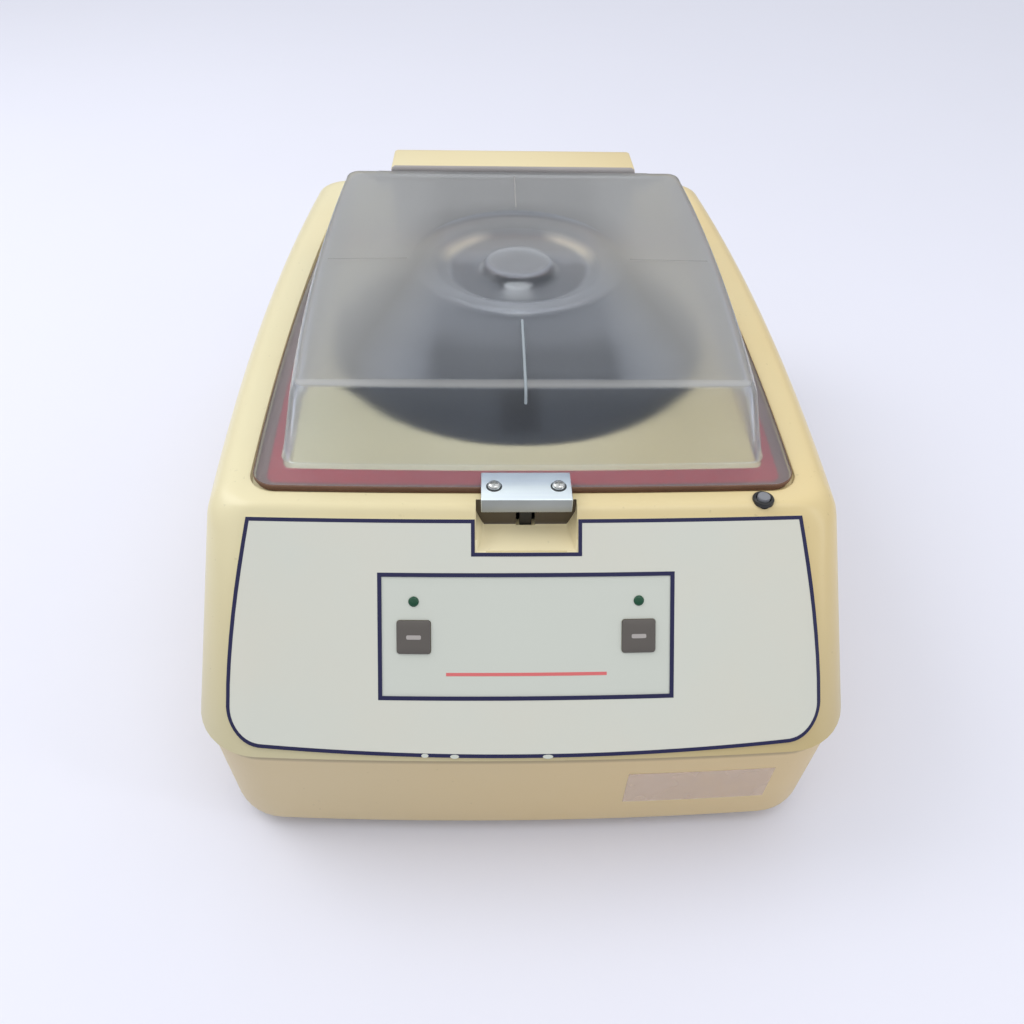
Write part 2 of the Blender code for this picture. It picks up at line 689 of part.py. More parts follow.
def make_latch():
    """Aluminium angle on the lid's front edge, with its screws and tongue."""
    pivot = (0.0, HINGE_Y, HINGE_Z)
    leg = 1.9
    under = FLANGE_TOP + GAP
    profile = [(LATCH_FRONT, 128.7), (LATCH_FRONT + leg, 128.7), (LATCH_FRONT + leg, under),
               (LATCH_REAR, under), (LATCH_REAR, LATCH_TOP), (LATCH_FRONT, LATCH_TOP)]
    block = add("latch_block", prism_x(profile, -LATCH_HALF, LATCH_HALF), "aluminium", pivot,
                smooth=False)
    places = [(-LATCH_SCREW_X, LATCH_SCREW_Y), (LATCH_SCREW_X, LATCH_SCREW_Y)]
    boolean(block, "latch_bores", posts(places, 1.4, 130.0, 137.0), "DIFFERENCE")
    for (x, y), word in zip(places, ("left", "right")):
        head = [(0.0, 133.2), (1.1, 133.2), (1.1, LATCH_TOP + 0.2), (2.3, LATCH_TOP + 0.2),
                (2.3, LATCH_TOP + 0.9), (1.5, LATCH_TOP + 1.6), (0.0, LATCH_TOP + 1.6)]
        add(f"latch_screw_{word}", turned(head, (x, y), 18), "steel", pivot)
    hook = [(-120.4, 132.2), (-118.3, 132.2), (-118.3, 120.6), (-112.9, 120.6),
            (-112.9, 119.2), (-114.5, 118.0), (-120.4, 118.0)]
    hook = [(y, z) for y, z in reversed(hook)]
    add("latch_tongue", prism_x(hook, -2.2, 2.2), "black", pivot, smooth=False)


def make_gasket():
    """Rubber seal on the well floor, under the lid's flange."""
    low, high = WELL_Z + GAP, FLANGE_BOTTOM - GAP
    outer, inner = 3.0, 11.5
    rings = [flange_ring(low, outer), flange_ring(high, outer),
             flange_ring(high, inner), flange_ring(low, inner)]
    add("lid_gasket", tube(rings), "gasket")


# --------------------------------------------------------- rotor and its chamber
def make_bowl():
    outer = BOWL_HOLE - GAP
    wall = 2.0
    floor = BOWL_FLOOR
    profile = [(9.0, floor), (72.0, floor), (80.5, floor + 3.5), (outer, floor + 12.0),
               (outer, WELL_Z - GAP), (outer - wall, WELL_Z - GAP), (outer - wall, floor + 12.5),
               (79.0, floor + 5.2), (71.5, floor + 2.2), (11.5, floor + 2.2),
               (11.5, floor + 8.0), (9.0, floor + 8.0)]
    add("rotor_bowl", turned(profile, segments=BOWL_SEGMENTS), "slate")


def make_rotor():
    """Rotor with four tube channels, its knob, the shaft and motor armature."""
    bore = SHAFT_RADIUS + GAP
    profile = [(bore, ROTOR_BOTTOM), (69.0, ROTOR_BOTTOM), (ROTOR_RADIUS, ROTOR_BOTTOM + 6),
               (ROTOR_RADIUS, ROTOR_TOP - 3), (73.5, ROTOR_TOP), (26.0, ROTOR_TOP),
               (16.0, ROTOR_TOP + 12), (11.5, ROTOR_TOP + 17), (bore, ROTOR_TOP + 17)]
    rotor = add("rotor", turned(profile, segments=48), "black")
    low, high, half, near, far = 103.5, DECK_Z, 8.2, 30.0, 69.0
    channels = [((near, -half, low), (far, half, high)), ((-far, -half, low), (-near, half, high)),
                ((-half, near, low), (half, far, high)), ((-half, -far, low), (half, -near, high))]
    boolean(rotor, "tube_channels", boxes(channels), "DIFFERENCE")
    knob_low = ROTOR_TOP + 17 + GAP
    knob = [(0.0, knob_low), (6.1, knob_low), (6.7, knob_low + 0.7), (6.7, 148.8),
            (5.5, 150.0), (0.0, 150.0)]
    add("rotor_knob", turned(knob, segments=32), "steel")
    shaft = [(0.0, 10.0), (SHAFT_RADIUS - 0.5, 10.0), (SHAFT_RADIUS, 10.5),
             (SHAFT_RADIUS, 138.0), (0.0, 138.0)]
    add("motor_shaft", turned(shaft, segments=20), "steel")
    armature = [(bore, 28.0), (21.0, 28.0), (21.0, 60.0), (bore, 60.0)]
    add("motor_armature", turned(armature, segments=24), "copper")
    make_fan(bore)


def make_fan(bore):
    """Flat cooling fan on the lower end of the shaft."""
    blades = 8
    outline_points = []
    for i in range(blades):
        start = 2 * pi * i / blades
        for turn, radius in ((0.0, 9.0), (0.10, 26.0), (0.34, 26.0), (0.45, 9.0)):
            a = start + turn
            outline_points.append((radius * cos(a), radius * sin(a)))
    fan = add("cooling_fan", prism_z(outline_points, 10.8, 15.2), "black", smooth=False)
    boolean(fan, "fan_bore", posts([(0.0, 0.0)], bore, 5.0, 20.0, 20), "DIFFERENCE")


# ------------------------------------------------------------------------ motor
def make_motor():
    half, chamfer = 73.0, 20.0
    plate = []
    for sx, sy in ((1, -1), (1, 1), (-1, 1), (-1, -1)):
        first = (sx * (half - chamfer), sy * half)
        second = (sx * half, sy * (half - chamfer))
        plate += [first, second] if sx * sy < 0 else [second, first]
    mounting = add("motor_plate", prism_z(plate, 72.0, 75.0), "zinc", smooth=False)
    boolean(mounting, "plate_bore", posts([(0.0, 0.0)], 12.0, 60.0, 90.0, 24), "DIFFERENCE")
    for i, (x, y) in enumerate(MOUNT_PLACES):
        profile = [(0.0, 52.3), (9.0, 52.3), (9.0, 56.0), (6.5, 59.0), (6.5, 65.0), (9.0, 68.0),
                   (9.0, 71.7), (0.0, 71.7)]
        add(f"vibration_mount_{i + 1}", turned(profile, (x, y), 18), "rubber", (x, y, 52.3))
    can = [(29.0, 22.0), (31.0, 22.0), (31.0, 71.7), (11.3, 71.7), (11.3, 68.7), (29.0, 68.7)]
    add("motor_case", turned(can, segments=32), "zinc")
    cap = [(11.3, 17.4), (31.0, 17.4), (31.0, 21.7), (11.3, 21.7)]
    add("motor_end_cap", turned(cap, segments=32), "zinc")
    field = [(22.4, 26.0), (28.6, 26.0), (28.6, 62.0), (22.4, 62.0)]
    add("motor_field", turned(field, segments=28), "magnet")
    bore = SHAFT_RADIUS + GAP
    for word, low in (("upper", 66.4), ("lower", 17.4)):
        ring = [(bore, low), (11.0, low), (11.0, low + 4.2), (bore, low + 4.2)]
        add(f"{word}_bearing", turned(ring, segments=24), "steel")


# -------------------------------------------------------------- controls, latch
def make_release_button():
    """Black bezel in the deck with a grey push cap and its return spring."""
    x, y = BUTTON_X, BUTTON_Y
    bezel = [(2.65, 114.0), (2.95, 114.0), (2.95, DECK_Z + GAP), (3.8, DECK_Z + GAP),
             (3.8, DECK_Z + 0.8), (3.3, DECK_Z + 1.2), (2.65, DECK_Z + 1.2)]
    add("button_bezel", turned(bezel, (x, y), 24), "black", (x, y, DECK_Z))
    cap = [(0.0, 123.0), (2.2, 123.0), (2.2, 132.5), (1.7, 133.0), (0.0, 133.0)]
    add("release_button", turned(cap, (x, y), 24), "grey", (x, y, 123.0))
    curve = bpy.data.curves.new("button_spring", "CURVE")
    curve.dimensions = "3D"
    curve.bevel_depth = 0.3 * MM
    curve.bevel_resolution = 1
    curve.use_fill_caps = True
    turns, steps = 4, 10
    count = turns * steps + 1
    spline = curve.splines.new("POLY")
    spline.points.add(count - 1)
    low, high, radius = 114.4, 122.3, 1.8
    for i in range(count):
        a = 2 * pi * i / steps
        z = blend(low, high, i / (count - 1))
        spline.points[i].co = (radius * cos(a) * MM, radius * sin(a) * MM, (z - low) * MM, 1.0)
    spring = bpy.data.objects.new("button_spring", curve)
    spring.location = (x * MM, y * MM, low * MM)
    curve.materials.append(material("steel"))
    bpy.context.scene.collection.objects.link(spring)


def make_lid_lock():
    """Solenoid bolt that closes over the latch tongue, and the lid switch."""
    bolt = box((3.9, -115.2, 121.0), (42.0, -112.4, 123.9))
    add("latch_bolt", bolt, "steel", (3.9, -113.8, 122.4), smooth=False)
    solenoid = add("latch_solenoid", box((21.5, -120.5, 108.5), (49.0, -106.5, 124.1)), "magnet",
                   smooth=False)
    bore = box((18.0, -115.6, 120.6), (60.0, -112.0, 130.0))
    boolean(solenoid, "bolt_bore", bore, "DIFFERENCE")
    add("lid_switch", box((-26.0, -113.6, 108.0), (-6.0, -106.6, 118.0)), "black", smooth=False)


def make_electronics():
    """Control board on standoffs behind the front, and the transformer."""
    board_x, board_top, board_low = 56.0, 18.0, 66.0
    back = -14.4
    board = block_on_front(0.0, (board_top + board_low) / 2, board_x, (board_low - board_top) / 2,
                           back - 1.6, back)
    add("control_board", board, "board", smooth=False)
    index = 0
    for x in (-50.0, 50.0):
        for slant in (23.0, 61.0):
            index += 1
            post = round_on_front(x, slant, [(2.5, back + GAP), (2.5, -4.2)], 12)
            add(f"board_standoff_{index}", post, "zinc")
    core = add("transformer_core", box((-98.0, 108.0, 8.8), (-42.0, 130.0, 54.0)), "magnet",
               smooth=False)
    boolean(core, "core_window", box((-86.0, 100.0, 20.0), (-54.0, 140.0, 43.0)), "DIFFERENCE")
    add("transformer_coil", box((-85.6, 99.0, 20.4), (-54.4, 139.0, 42.6)), "copper", smooth=False)


# ------------------------------------------------------------------- rear panel
PANEL_Y = (173.2, 175.2)
INLET_X, FUSE_X, SWITCH_X = -70.0, -30.0, 5.0
REAR_ROW_Z = 33.0
ROCKER_TIP = 8.0          # degrees that the rocker tips each way


def make_rear_panel():
    """Metal plate behind the rear opening, with mains inlet, fuse and switch."""
    low, high = PANEL_Y
    plate = add("rear_panel", box((-94.5, low, 14.5), (31.0, high, 54.5)), "zinc", smooth=False)
    cuts = []
    for x, half_x, half_z in ((INLET_X, 14.0, 10.2), (SWITCH_X, 9.8, 6.4)):
        cuts.append(((x - half_x, low - 1, REAR_ROW_Z - half_z), (x + half_x, high + 1, REAR_ROW_Z + half_z)))
    boolean(plate, "panel_cuts", boxes(cuts), "DIFFERENCE")
    fuse_hole = lying_cylinder([(6.4, -3.0), (6.4, 3.0)], (FUSE_X, sum(PANEL_Y) / 2, REAR_ROW_Z))
    boolean(plate, "fuse_hole", fuse_hole, "DIFFERENCE")
    make_inlet(high)
    make_fuse(high)
    make_rocker(high)
    plate_low, plate_high = (38.0, 178.9, 20.0), (90.0, 179.4, 46.0)
    add("rating_plate", box(plate_low, plate_high), "aluminium", smooth=False)


def make_inlet(face):
    """Three-pin appliance inlet; its socket is open to the back."""
    x, z = INLET_X, REAR_ROW_Z
    body = box((x - 13.6, face - 26.0, z - 9.8), (x + 13.6, face + GAP + 0.1, z + 9.8))
    inlet = add("power_inlet", body, "black", smooth=False)
    flange = box((x - 16.5, face + GAP, z - 12.5), (x + 16.5, face + 2.0, z + 12.5))
    boolean(inlet, "inlet_flange", flange, "UNION")
    key = 4.5
    socket = [(-12.0, -8.0), (12.0, -8.0), (12.0, 8.0 - key), (12.0 - key, 8.0), (key - 12.0, 8.0),
              (-12.0, 8.0 - key)]
    rings = [[(x + a, y, z + b) for a, b in socket] for y in (face - 15.0, face + 5.0)]
    boolean(inlet, "inlet_socket", loft(rings), "DIFFERENCE")
    pins = [((x + a - 1.0, face - 16.0, z + b - 2.0), (x + a + 1.0, face - 3.0, z + b + 2.0))
            for a, b in ((-7.0, -2.5), (7.0, -2.5), (0.0, 3.5))]
    boolean(inlet, "inlet_pins", boxes(pins), "UNION")


def make_fuse(face):
    centre = (FUSE_X, face, REAR_ROW_Z)
    profile = [(6.0, -28.0), (6.0, GAP), (8.0, GAP), (8.0, 2.6), (6.8, 4.0)]
    add("fuse_holder", lying_cylinder(profile, centre), "black", centre)


def make_rocker(face):
    """Snap-in frame with a rocker that tips about its middle."""
    x, z = SWITCH_X, REAR_ROW_Z
    body = box((x - 9.5, face - 18.0, z - 6.1), (x + 9.5, face + GAP + 0.1, z + 6.1))
    frame = add("switch_frame", body, "black", smooth=False)
    rim = box((x - 11.5, face + GAP, z - 8.0), (x + 11.5, face + 1.6, z + 8.0))
    boolean(frame, "switch_rim", rim, "UNION")
    well = box((x - 8.3, face - 10.0, z - 5.0), (x + 8.3, face + 5.0, z + 5.0))
    boolean(frame, "switch_well", well, "DIFFERENCE")
    tip = radians(ROCKER_TIP)
    pivot_y = face - 2.0
    level_profile = [(-7.6, 1.6), (0.0, 0.9), (7.6, 1.6), (7.6, -1.8), (0.0, -5.0), (-7.6, -1.8)]
    profile = [(a * cos(tip) - b * sin(tip), a * sin(tip) + b * cos(tip)) for a, b in level_profile]
    rings = [[(x + a, pivot_y + b, z + c) for a, b in profile] for c in (-4.5, 4.5)]
    add("power_rocker", loft(rings), "black", (x, pivot_y, z), smooth=False)


def main():
    for obj in list(bpy.data.objects):
        bpy.data.objects.remove(obj, do_unlink=True)
    make_upper_housing()
    make_base_shell()
    make_feet_and_screws()
    make_front_panel()
    make_lid()
    make_latch()
    make_gasket()
    make_bowl()
    make_rotor()
    make_motor()
    make_release_button()
    make_lid_lock()
    make_electronics()
    make_rear_panel()


main()
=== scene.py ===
"""Looks of the benchtop microcentrifuge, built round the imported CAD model.

Lengths are in millimetres until a mesh is made, in the CAD model's frame: X to
the right, Y to the back, Z up, the rotor axis at X = Y = 0, feet on Z = 0.
"""
import json
from math import atan2, cos, pi, radians, sin, sqrt

import bmesh
import bpy
from mathutils import Matrix, Vector


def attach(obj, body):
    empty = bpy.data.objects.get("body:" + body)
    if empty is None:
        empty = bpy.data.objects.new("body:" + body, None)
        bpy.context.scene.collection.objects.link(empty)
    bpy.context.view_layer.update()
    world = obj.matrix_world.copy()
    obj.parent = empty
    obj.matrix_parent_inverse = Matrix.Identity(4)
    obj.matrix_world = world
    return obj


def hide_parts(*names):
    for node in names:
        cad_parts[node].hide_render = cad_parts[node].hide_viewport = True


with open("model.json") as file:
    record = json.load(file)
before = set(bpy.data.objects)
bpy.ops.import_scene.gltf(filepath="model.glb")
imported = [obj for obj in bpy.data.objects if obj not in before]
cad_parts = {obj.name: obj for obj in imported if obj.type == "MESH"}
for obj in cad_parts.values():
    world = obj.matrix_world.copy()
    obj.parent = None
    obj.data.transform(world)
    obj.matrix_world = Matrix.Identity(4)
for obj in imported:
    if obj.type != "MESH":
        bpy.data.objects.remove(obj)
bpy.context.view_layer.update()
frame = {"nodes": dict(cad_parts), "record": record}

MM = 0.001
SIDES = ((-1, "left"), (1, "right"))
ROOT = "chassis"

# ---- dimensions shared with the CAD
DECK_Z, SEAM_Z, BASE_Z = 130.0, 60.0, 5.0
WALL = 3.0
FRONT_EDGE_Y, NOSE_Y, REAR_Y = -121.5, -180.0, 180.0
HALF_DECK, HALF_SEAM = 114.2, 121.4
BULGE_DECK, BULGE_SEAM = 5.6, 1.8
CORNER_DECK, CORNER_SEAM = 13.0, 25.0
BOW_DECK, BOW_SEAM = 2.2, 4.1
SHOULDER, BROW = 9.0, 4.0
DECK_UNDERSIDE = 124.5

LID_FRONT, LID_REAR, LID_HALF = -113.2, 93.8, 98.9
LID_BULGE, LID_CORNER, LID_WALL, LID_BOW = 2.6, 9.0, 2.0, 1.7
FLANGE_BOTTOM, FLANGE_TOP = 129.9, 131.6
DOME_FOOT_FRONT, DOME_FOOT_REAR, DOME_FOOT_HALF = -100.2, 91.0, 89.7
RIDGE_FRONT, RIDGE_REAR, RIDGE_HALF = -91.4, 89.3, 83.8
RIDGE_BULGE, RIDGE_Z, TOP_RISE = 3.0, 158.9, 8.3
WELL_Z, WELL_MARGIN, WELL_REAR = 128.0, 1.0, 121.0

HINGE_Y, HINGE_Z, HINGE_PIN = 97.4, 160.0, 1.6
ARM_GAP, ARM_WIDTH, ARM_RADIUS, ARM_FRONT = 0.9, 6.0, 3.6, 87.4
HUMP_HALF, HUMP_FRONT, HUMP_CREST_REAR = 62.3, 94.4, 118.0
HUMP_TOP, HUMP_FOOT_REAR, HUMP_BROW = 167.4, 166.0, 2.2

BOWL_HOLE, BOWL_FLOOR = 84.0, 84.0
ROTOR_RADIUS, ROTOR_BOTTOM, ROTOR_TOP = 76.0, 96.0, 122.0

RECESS_HALF, RECESS_FLOOR, RECESS_BACK = 17.9, 117.5, -117.7
HOOK_SLOT_HALF, HOOK_SLOT_REAR = 3.5, -112.3
LATCH_HALF, LATCH_FRONT, LATCH_REAR, LATCH_TOP = 16.0, -123.2, -108.2, 134.6
LATCH_SCREW_X, LATCH_SCREW_Y = 11.4, -116.0
BUTTON_X, BUTTON_Y, BUTTON_HOLE = 84.8, -118.2, 3.3

PANEL_TOP, PANEL_BOTTOM = 4.5, 89.5
PANEL_HALF_TOP, PANEL_HALF_LOW = 98.2, 106.5
NOTCH_HALF, NOTCH_DEPTH = 18.2, 16.2
WINDOW_HALF, WINDOW_TOP, WINDOW_BOTTOM = 52.5, 23.4, 68.8
KEY_SIZE, KEY_X, KEY_S = 11.9, 39.8, 46.2
LED_S, LED_RADIUS = 33.6, 1.85
OVERLAY_TOP = 0.9

BASE_FILLET, BASE_RAKE, BASE_TAPER, SEAM_STEP = 6.0, 3.0, 2.0, 1.4
SCREW_PLACES = [(102.0, -116.0), (-102.0, -116.0), (100.0, 152.0), (-100.0, 152.0)]
FOOT_PLACES = [(92.0, -146.0), (-92.0, -146.0), (92.0, 150.0), (-92.0, 150.0)]
FOOT_RADIUS = 9.5
REAR_OPENING = ((-91.0, 170.0, 18.0), (26.0, 190.0, 50.0))
VENT_PITCH, VENT_HALF, VENT_FRONT, VENT_REAR = 12.0, 2.2, -100.0, -66.0
REAR_PANEL_Y, REAR_ROW_Z, INLET_X = 175.2, 33.0, -70.0
TAPE_LOW, TAPE_HIGH, TAPE_LEFT, TAPE_RIGHT = 24.4, 46.6, 38.5, 94.0

DROP = DECK_Z - SEAM_Z
FRONT_RUN = FRONT_EDGE_Y - NOSE_Y
SLOPE = atan2(DROP, FRONT_RUN)


# ---- materials
def srgb(red, green, blue):
    """A display colour, 0 to 255, as the linear values that shaders take."""
    values = [channel / 255 for channel in (red, green, blue)]
    return [v / 12.92 if v <= 0.04045 else ((v + 0.055) / 1.055) ** 2.4 for v in values]


def new_material(name):
    made = bpy.data.materials.new(name)
    made.use_nodes = True
    return made, made.node_tree, made.node_tree.nodes["Principled BSDF"]


def add_node(tree, kind, **settings):
    node = tree.nodes.new("ShaderNode" + kind)
    for name, value in settings.items():
        setattr(node, name, value)
    return node


def coordinates(tree, kind):
    """The X, Y and Z sockets of an object's or the world's coordinates."""
    split = add_node(tree, "SeparateXYZ")
    tree.links.new(add_node(tree, "TexCoord").outputs[kind], split.inputs["Vector"])
    return split.outputs


def noise(tree, scale, detail, stretch=(1.0, 1.0, 1.0)):
    """Noise fixed to the object; returns its value socket."""
    place = add_node(tree, "TexCoord")
    mapping = add_node(tree, "Mapping")
    mapping.inputs["Scale"].default_value = stretch
    texture = add_node(tree, "TexNoise")
    texture.inputs["Scale"].default_value = scale
    texture.inputs["Detail"].default_value = detail
    tree.links.new(place.outputs["Object"], mapping.inputs["Vector"])
    tree.links.new(mapping.outputs["Vector"], texture.inputs["Vector"])
    return texture.outputs["Fac"]


def math_node(tree, operation, *operands):
    """A math node; each operand is a socket or a plain number."""
    node = add_node(tree, "Math", operation=operation)
    for socket, operand in zip(node.inputs, operands):
        if isinstance(operand, float):
            socket.default_value = operand
        else:
            tree.links.new(operand, socket)
    return node.outputs["Value"]


def times(tree, first, second):
    return math_node(tree, "MULTIPLY", first, second)


def remap(tree, value, low, high, start=0.3, end=0.7, clamp=True):
    """The value's range start to end, stretched to low to high."""
    node = add_node(tree, "MapRange", clamp=clamp)
    node.inputs["From Min"].default_value = start
    node.inputs["From Max"].default_value = end
    node.inputs["To Min"].default_value = low
    node.inputs["To Max"].default_value = high
    tree.links.new(value, node.inputs["Value"])
    return node.outputs["Result"]


def ramp(tree, value, first, second, start=0.3, end=0.7):
    node = add_node(tree, "ValToRGB")
    low, high = node.color_ramp.elements
    low.position, high.position = start, end
    low.color, high.color = (*first, 1.0), (*second, 1.0)
    tree.links.new(value, node.inputs["Fac"])
    return node.outputs["Color"]


def bump(tree, shader, value, depth):
    node = add_node(tree, "Bump")
    node.inputs["Distance"].default_value = depth * MM
    tree.links.new(value, node.inputs["Height"])
    tree.links.new(node.outputs["Normal"], shader.inputs["Normal"])


def surface(name, colour, roughness, mottle, grain, grain_scale=1400.0, metallic=0.0,
            stretch=(1.0, 1.0, 1.0), patch=22.0, tint=None):
    """Moulded, painted or machined stuff: faint patches of colour, uneven gloss
    and a fine grain.  Colours are display values from 0 to 255; tint is the
    second colour that the patches lean to."""
    made, tree, shader = new_material(name)
    patches = noise(tree, patch, 4.0, stretch)
    colour = srgb(*colour)
    first = [c * (1 - mottle) for c in colour]
    second = srgb(*tint) if tint else [min(1.0, c * (1 + mottle)) for c in colour]
    tree.links.new(ramp(tree, patches, first, second), shader.inputs["Base Color"])
    gloss = noise(tree, patch * 6, 3.0, stretch)
    spread = remap(tree, gloss, roughness * 0.88, min(1.0, roughness * 1.14))
    tree.links.new(spread, shader.inputs["Roughness"])
    shader.inputs["Metallic"].default_value = metallic
    bump(tree, shader, noise(tree, grain_scale, 2.0, stretch), grain)
    return made


def along(tree, axis, start, end, low=0.0, high=1.0, clamp=True):
    """A value that goes from low to high between two places on an object axis."""
    return remap(tree, coordinates(tree, "Object")[axis], low, high, start * MM, end * MM, clamp)


def moulding(name, colour, aged, roughness, rim_shade=1.0):
    """Cream plastic, yellowed more towards the right, with faint specks and
    painted shade that darkens it down towards the seam.  rim_shade darkens the strip
    just under the seam, painted shadow of the housing's lip."""
    made, tree, shader = new_material(name)
    patches = remap(tree, noise(tree, 11.0, 3.0), -0.12, 0.12)
    drift = math_node(tree, "ADD", along(tree, "X", -125.0, 125.0), patches)
    tone = ramp(tree, drift, srgb(*colour), srgb(*aged), 0.05, 0.95)
    specks = remap(tree, noise(tree, 420.0, 2.0), 1.0, 0.88, 0.71, 0.78)
    # painted shade: darker down towards the seam
    seam_shade = along(tree, "Z", SEAM_Z, 118.0, 0.76, 1.0)
    # painted shadow of the housing's lip on the strip under the seam
    strip = along(tree, "Z", 55.6, 57.2, 1.0, rim_shade)
    shade = add_node(tree, "VectorMath", operation="SCALE")
    tree.links.new(tone, shade.inputs[0])
    tree.links.new(times(tree, times(tree, specks, seam_shade), strip), shade.inputs["Scale"])
    tree.links.new(shade.outputs["Vector"], shader.inputs["Base Color"])
    spread = remap(tree, noise(tree, 60.0, 3.0), roughness * 0.94, roughness * 1.06, 0.2, 0.8)
    tree.links.new(spread, shader.inputs["Roughness"])
    bump(tree, shader, noise(tree, 900.0, 2.0), 0.018)
    return made


def facing_up(tree):
    """1 on the level faces of an object and 0 on its upright ones."""
    size = math_node(tree, "ABSOLUTE", coordinates(tree, "Normal")["Z"])
    return remap(tree, size, 0.0, 1.0, 0.80, 0.92)


def from_axis(tree):
    """Distance from the rotor axis, in metres."""
    place = add_node(tree, "TexCoord")
    flat = add_node(tree, "VectorMath", operation="MULTIPLY")
    flat.inputs[1].default_value = (1.0, 1.0, 0.0)
    tree.links.new(place.outputs["Object"], flat.inputs[0])
    length = add_node(tree, "VectorMath", operation="LENGTH")
    tree.links.new(flat.outputs["Vector"], length.inputs[0])
    return length.outputs["Value"]


def smoked(name):
    """Smoked plastic: clear sides and flange, and a top dulled by a pale film of fine
    scratches and painted reflection that thickens towards its sides and back, with a band of
    painted highlight along its front edge.
    Two pale crescents of painted highlight lie on the dish's slope, and its floor is clear.
    Lamps shine through it, so that what is under the lid is lit."""
    made, tree, shader = new_material(name)
    shader.inputs["IOR"].default_value = 1.26
    haze = remap(tree, noise(tree, 18.0, 2.0), 0.28, 0.32, 0.1, 0.9)
    tree.links.new(haze, shader.inputs["Roughness"])
    wide = math_node(tree, "ABSOLUTE", along(tree, "X", 0.0, 80.0, clamp=False))
    radius = from_axis(tree)

    # the film thickens towards the sides and back: fine scratches together with painted reflection
    sides = remap(tree, wide, 0.0, 1.05, 0.40, 0.94)
    back = along(tree, "Y", -70.0, 50.0, 0.0, 0.80)
    spread = remap(tree, math_node(tree, "ADD", sides, back), 0.0, 1.15, 0.0, 1.15)
    uneven = times(tree, remap(tree, noise(tree, 20.0, 3.0), 0.27, 0.33, 0.1, 0.9), spread)
    floor = remap(tree, radius, 0.12, 1.0, 0.0285, 0.0315)
    boss = remap(tree, radius, 1.0, 0.0, 0.0130, 0.0145)
    circle_film = math_node(tree, "MAXIMUM", floor, boss)
    film_and_sheen = math_node(tree, "MAXIMUM", circle_film, along(tree, "Y", 2.0, 18.0))
    # painted highlight: a pale band along the top's front edge
    ridge_highlight = along(tree, "Y", -85.2, -86.4)
    scuffs_and_sheen = math_node(tree, "MULTIPLY_ADD", ridge_highlight, 0.34, times(tree, uneven, film_and_sheen))
    top = times(tree, facing_up(tree), along(tree, "Z", 138.0, 150.0))
    cover = times(tree, top, scuffs_and_sheen)

    # painted highlight: two pale crescents on the dish's rear slope
    slope = times(tree, remap(tree, radius, 0.0, 1.0, 0.0290, 0.0318),
                  remap(tree, radius, 1.0, 0.0, 0.0325, 0.0362))
    behind = times(tree, along(tree, "Y", 2.0, 14.0), remap(tree, wide, 0.0, 1.0, 0.13, 0.24))
    crescent_highlight = times(tree, slope, behind)
    tone = add_node(tree, "Mix", data_type="RGBA")
    tree.links.new(crescent_highlight, tone.inputs["Factor"])
    tree.links.new(ramp(tree, cover, LID_TINT, LID_FILM, 0.04, 0.22), tone.inputs["A"])
    tone.inputs["B"].default_value = (*LID_HIGHLIGHT_TONE, 1.0)
    tree.links.new(tone.outputs["Result"], shader.inputs["Base Color"])
    clear = math_node(tree, "SUBTRACT", 0.97, math_node(tree, "MULTIPLY_ADD", crescent_highlight, 0.15, cover))
    tree.links.new(clear, shader.inputs["Transmission Weight"])

    through = add_node(tree, "BsdfTransparent")
    through.inputs["Color"].default_value = (*[sqrt(c) for c in LID_TINT], 1.0)
    path = add_node(tree, "LightPath")
    mix = add_node(tree, "MixShader")
    tree.links.new(path.outputs["Is Shadow Ray"], mix.inputs[0])
    tree.links.new(shader.outputs["BSDF"], mix.inputs[1])
    tree.links.new(through.outputs["BSDF"], mix.inputs[2])
    tree.links.new(mix.outputs["Shader"], tree.nodes["Material Output"].inputs["Surface"])
    return made


def tape(name):
    """Old clear tape: mostly see-through, with a pinkish milky cast."""
    made, tree, shader = new_material(name)
    milky = noise(tree, 50.0, 2.0)
    tone = ramp(tree, milky, srgb(232, 214, 204), srgb(236, 219, 208))
    tree.links.new(tone, shader.inputs["Base Color"])
    tree.links.new(remap(tree, milky, 0.27, 0.34), shader.inputs["Alpha"])
    tree.links.new(remap(tree, milky, 0.28, 0.4), shader.inputs["Roughness"])
    return made


LID_TINT = [0.76, 0.795, 0.855]
LID_FILM = [0.47, 0.475, 0.475]
# tone of the painted crescent highlights
LID_HIGHLIGHT_TONE = [0.74, 0.71, 0.64]
CREAM = moulding("cream_plastic", (228, 218, 178), (224, 202, 148), 0.32)
# lighter cream for the finger recess: painted light
RECESS_LIT_CREAM = moulding("recess_painted_light_cream", (248, 238, 202), (244, 228, 184), 0.36)
SHADED = moulding("recess_back", (88, 78, 62), (84, 74, 58), 0.5)
# 0.62 is the painted shadow under the housing's lip
TAN = moulding("tan_plastic", (238, 216, 168), (244, 216, 160), 0.40, 0.62)
SMOKE = smoked("smoked_lid")
FILM = surface("overlay_film", (215, 217, 206), 0.42, 0.008, 0.006, 2600.0,
               tint=(217, 216, 203))
FIELD = surface("window_film", (209, 213, 203), 0.40, 0.008, 0.006, 2600.0)
NAVY = surface("navy_ink", (22, 22, 70), 0.42, 0.06, 0.004)
# pale colour of the front rib: painted highlight
PALE = surface("rib_painted_highlight", (150, 160, 166), 0.4, 0.05, 0.0)
PINK = surface("red_ink", (222, 112, 112), 0.45, 0.05, 0.004)
KEY = surface("key_film", (94, 89, 84), 0.46, 0.03, 0.012, 2600.0)
PALE_INK = surface("pale_ink", (176, 170, 166), 0.5, 0.05, 0.004)
RED = surface("silicone_red", (168, 48, 46), 0.6, 0.10, 0.03, 700.0)
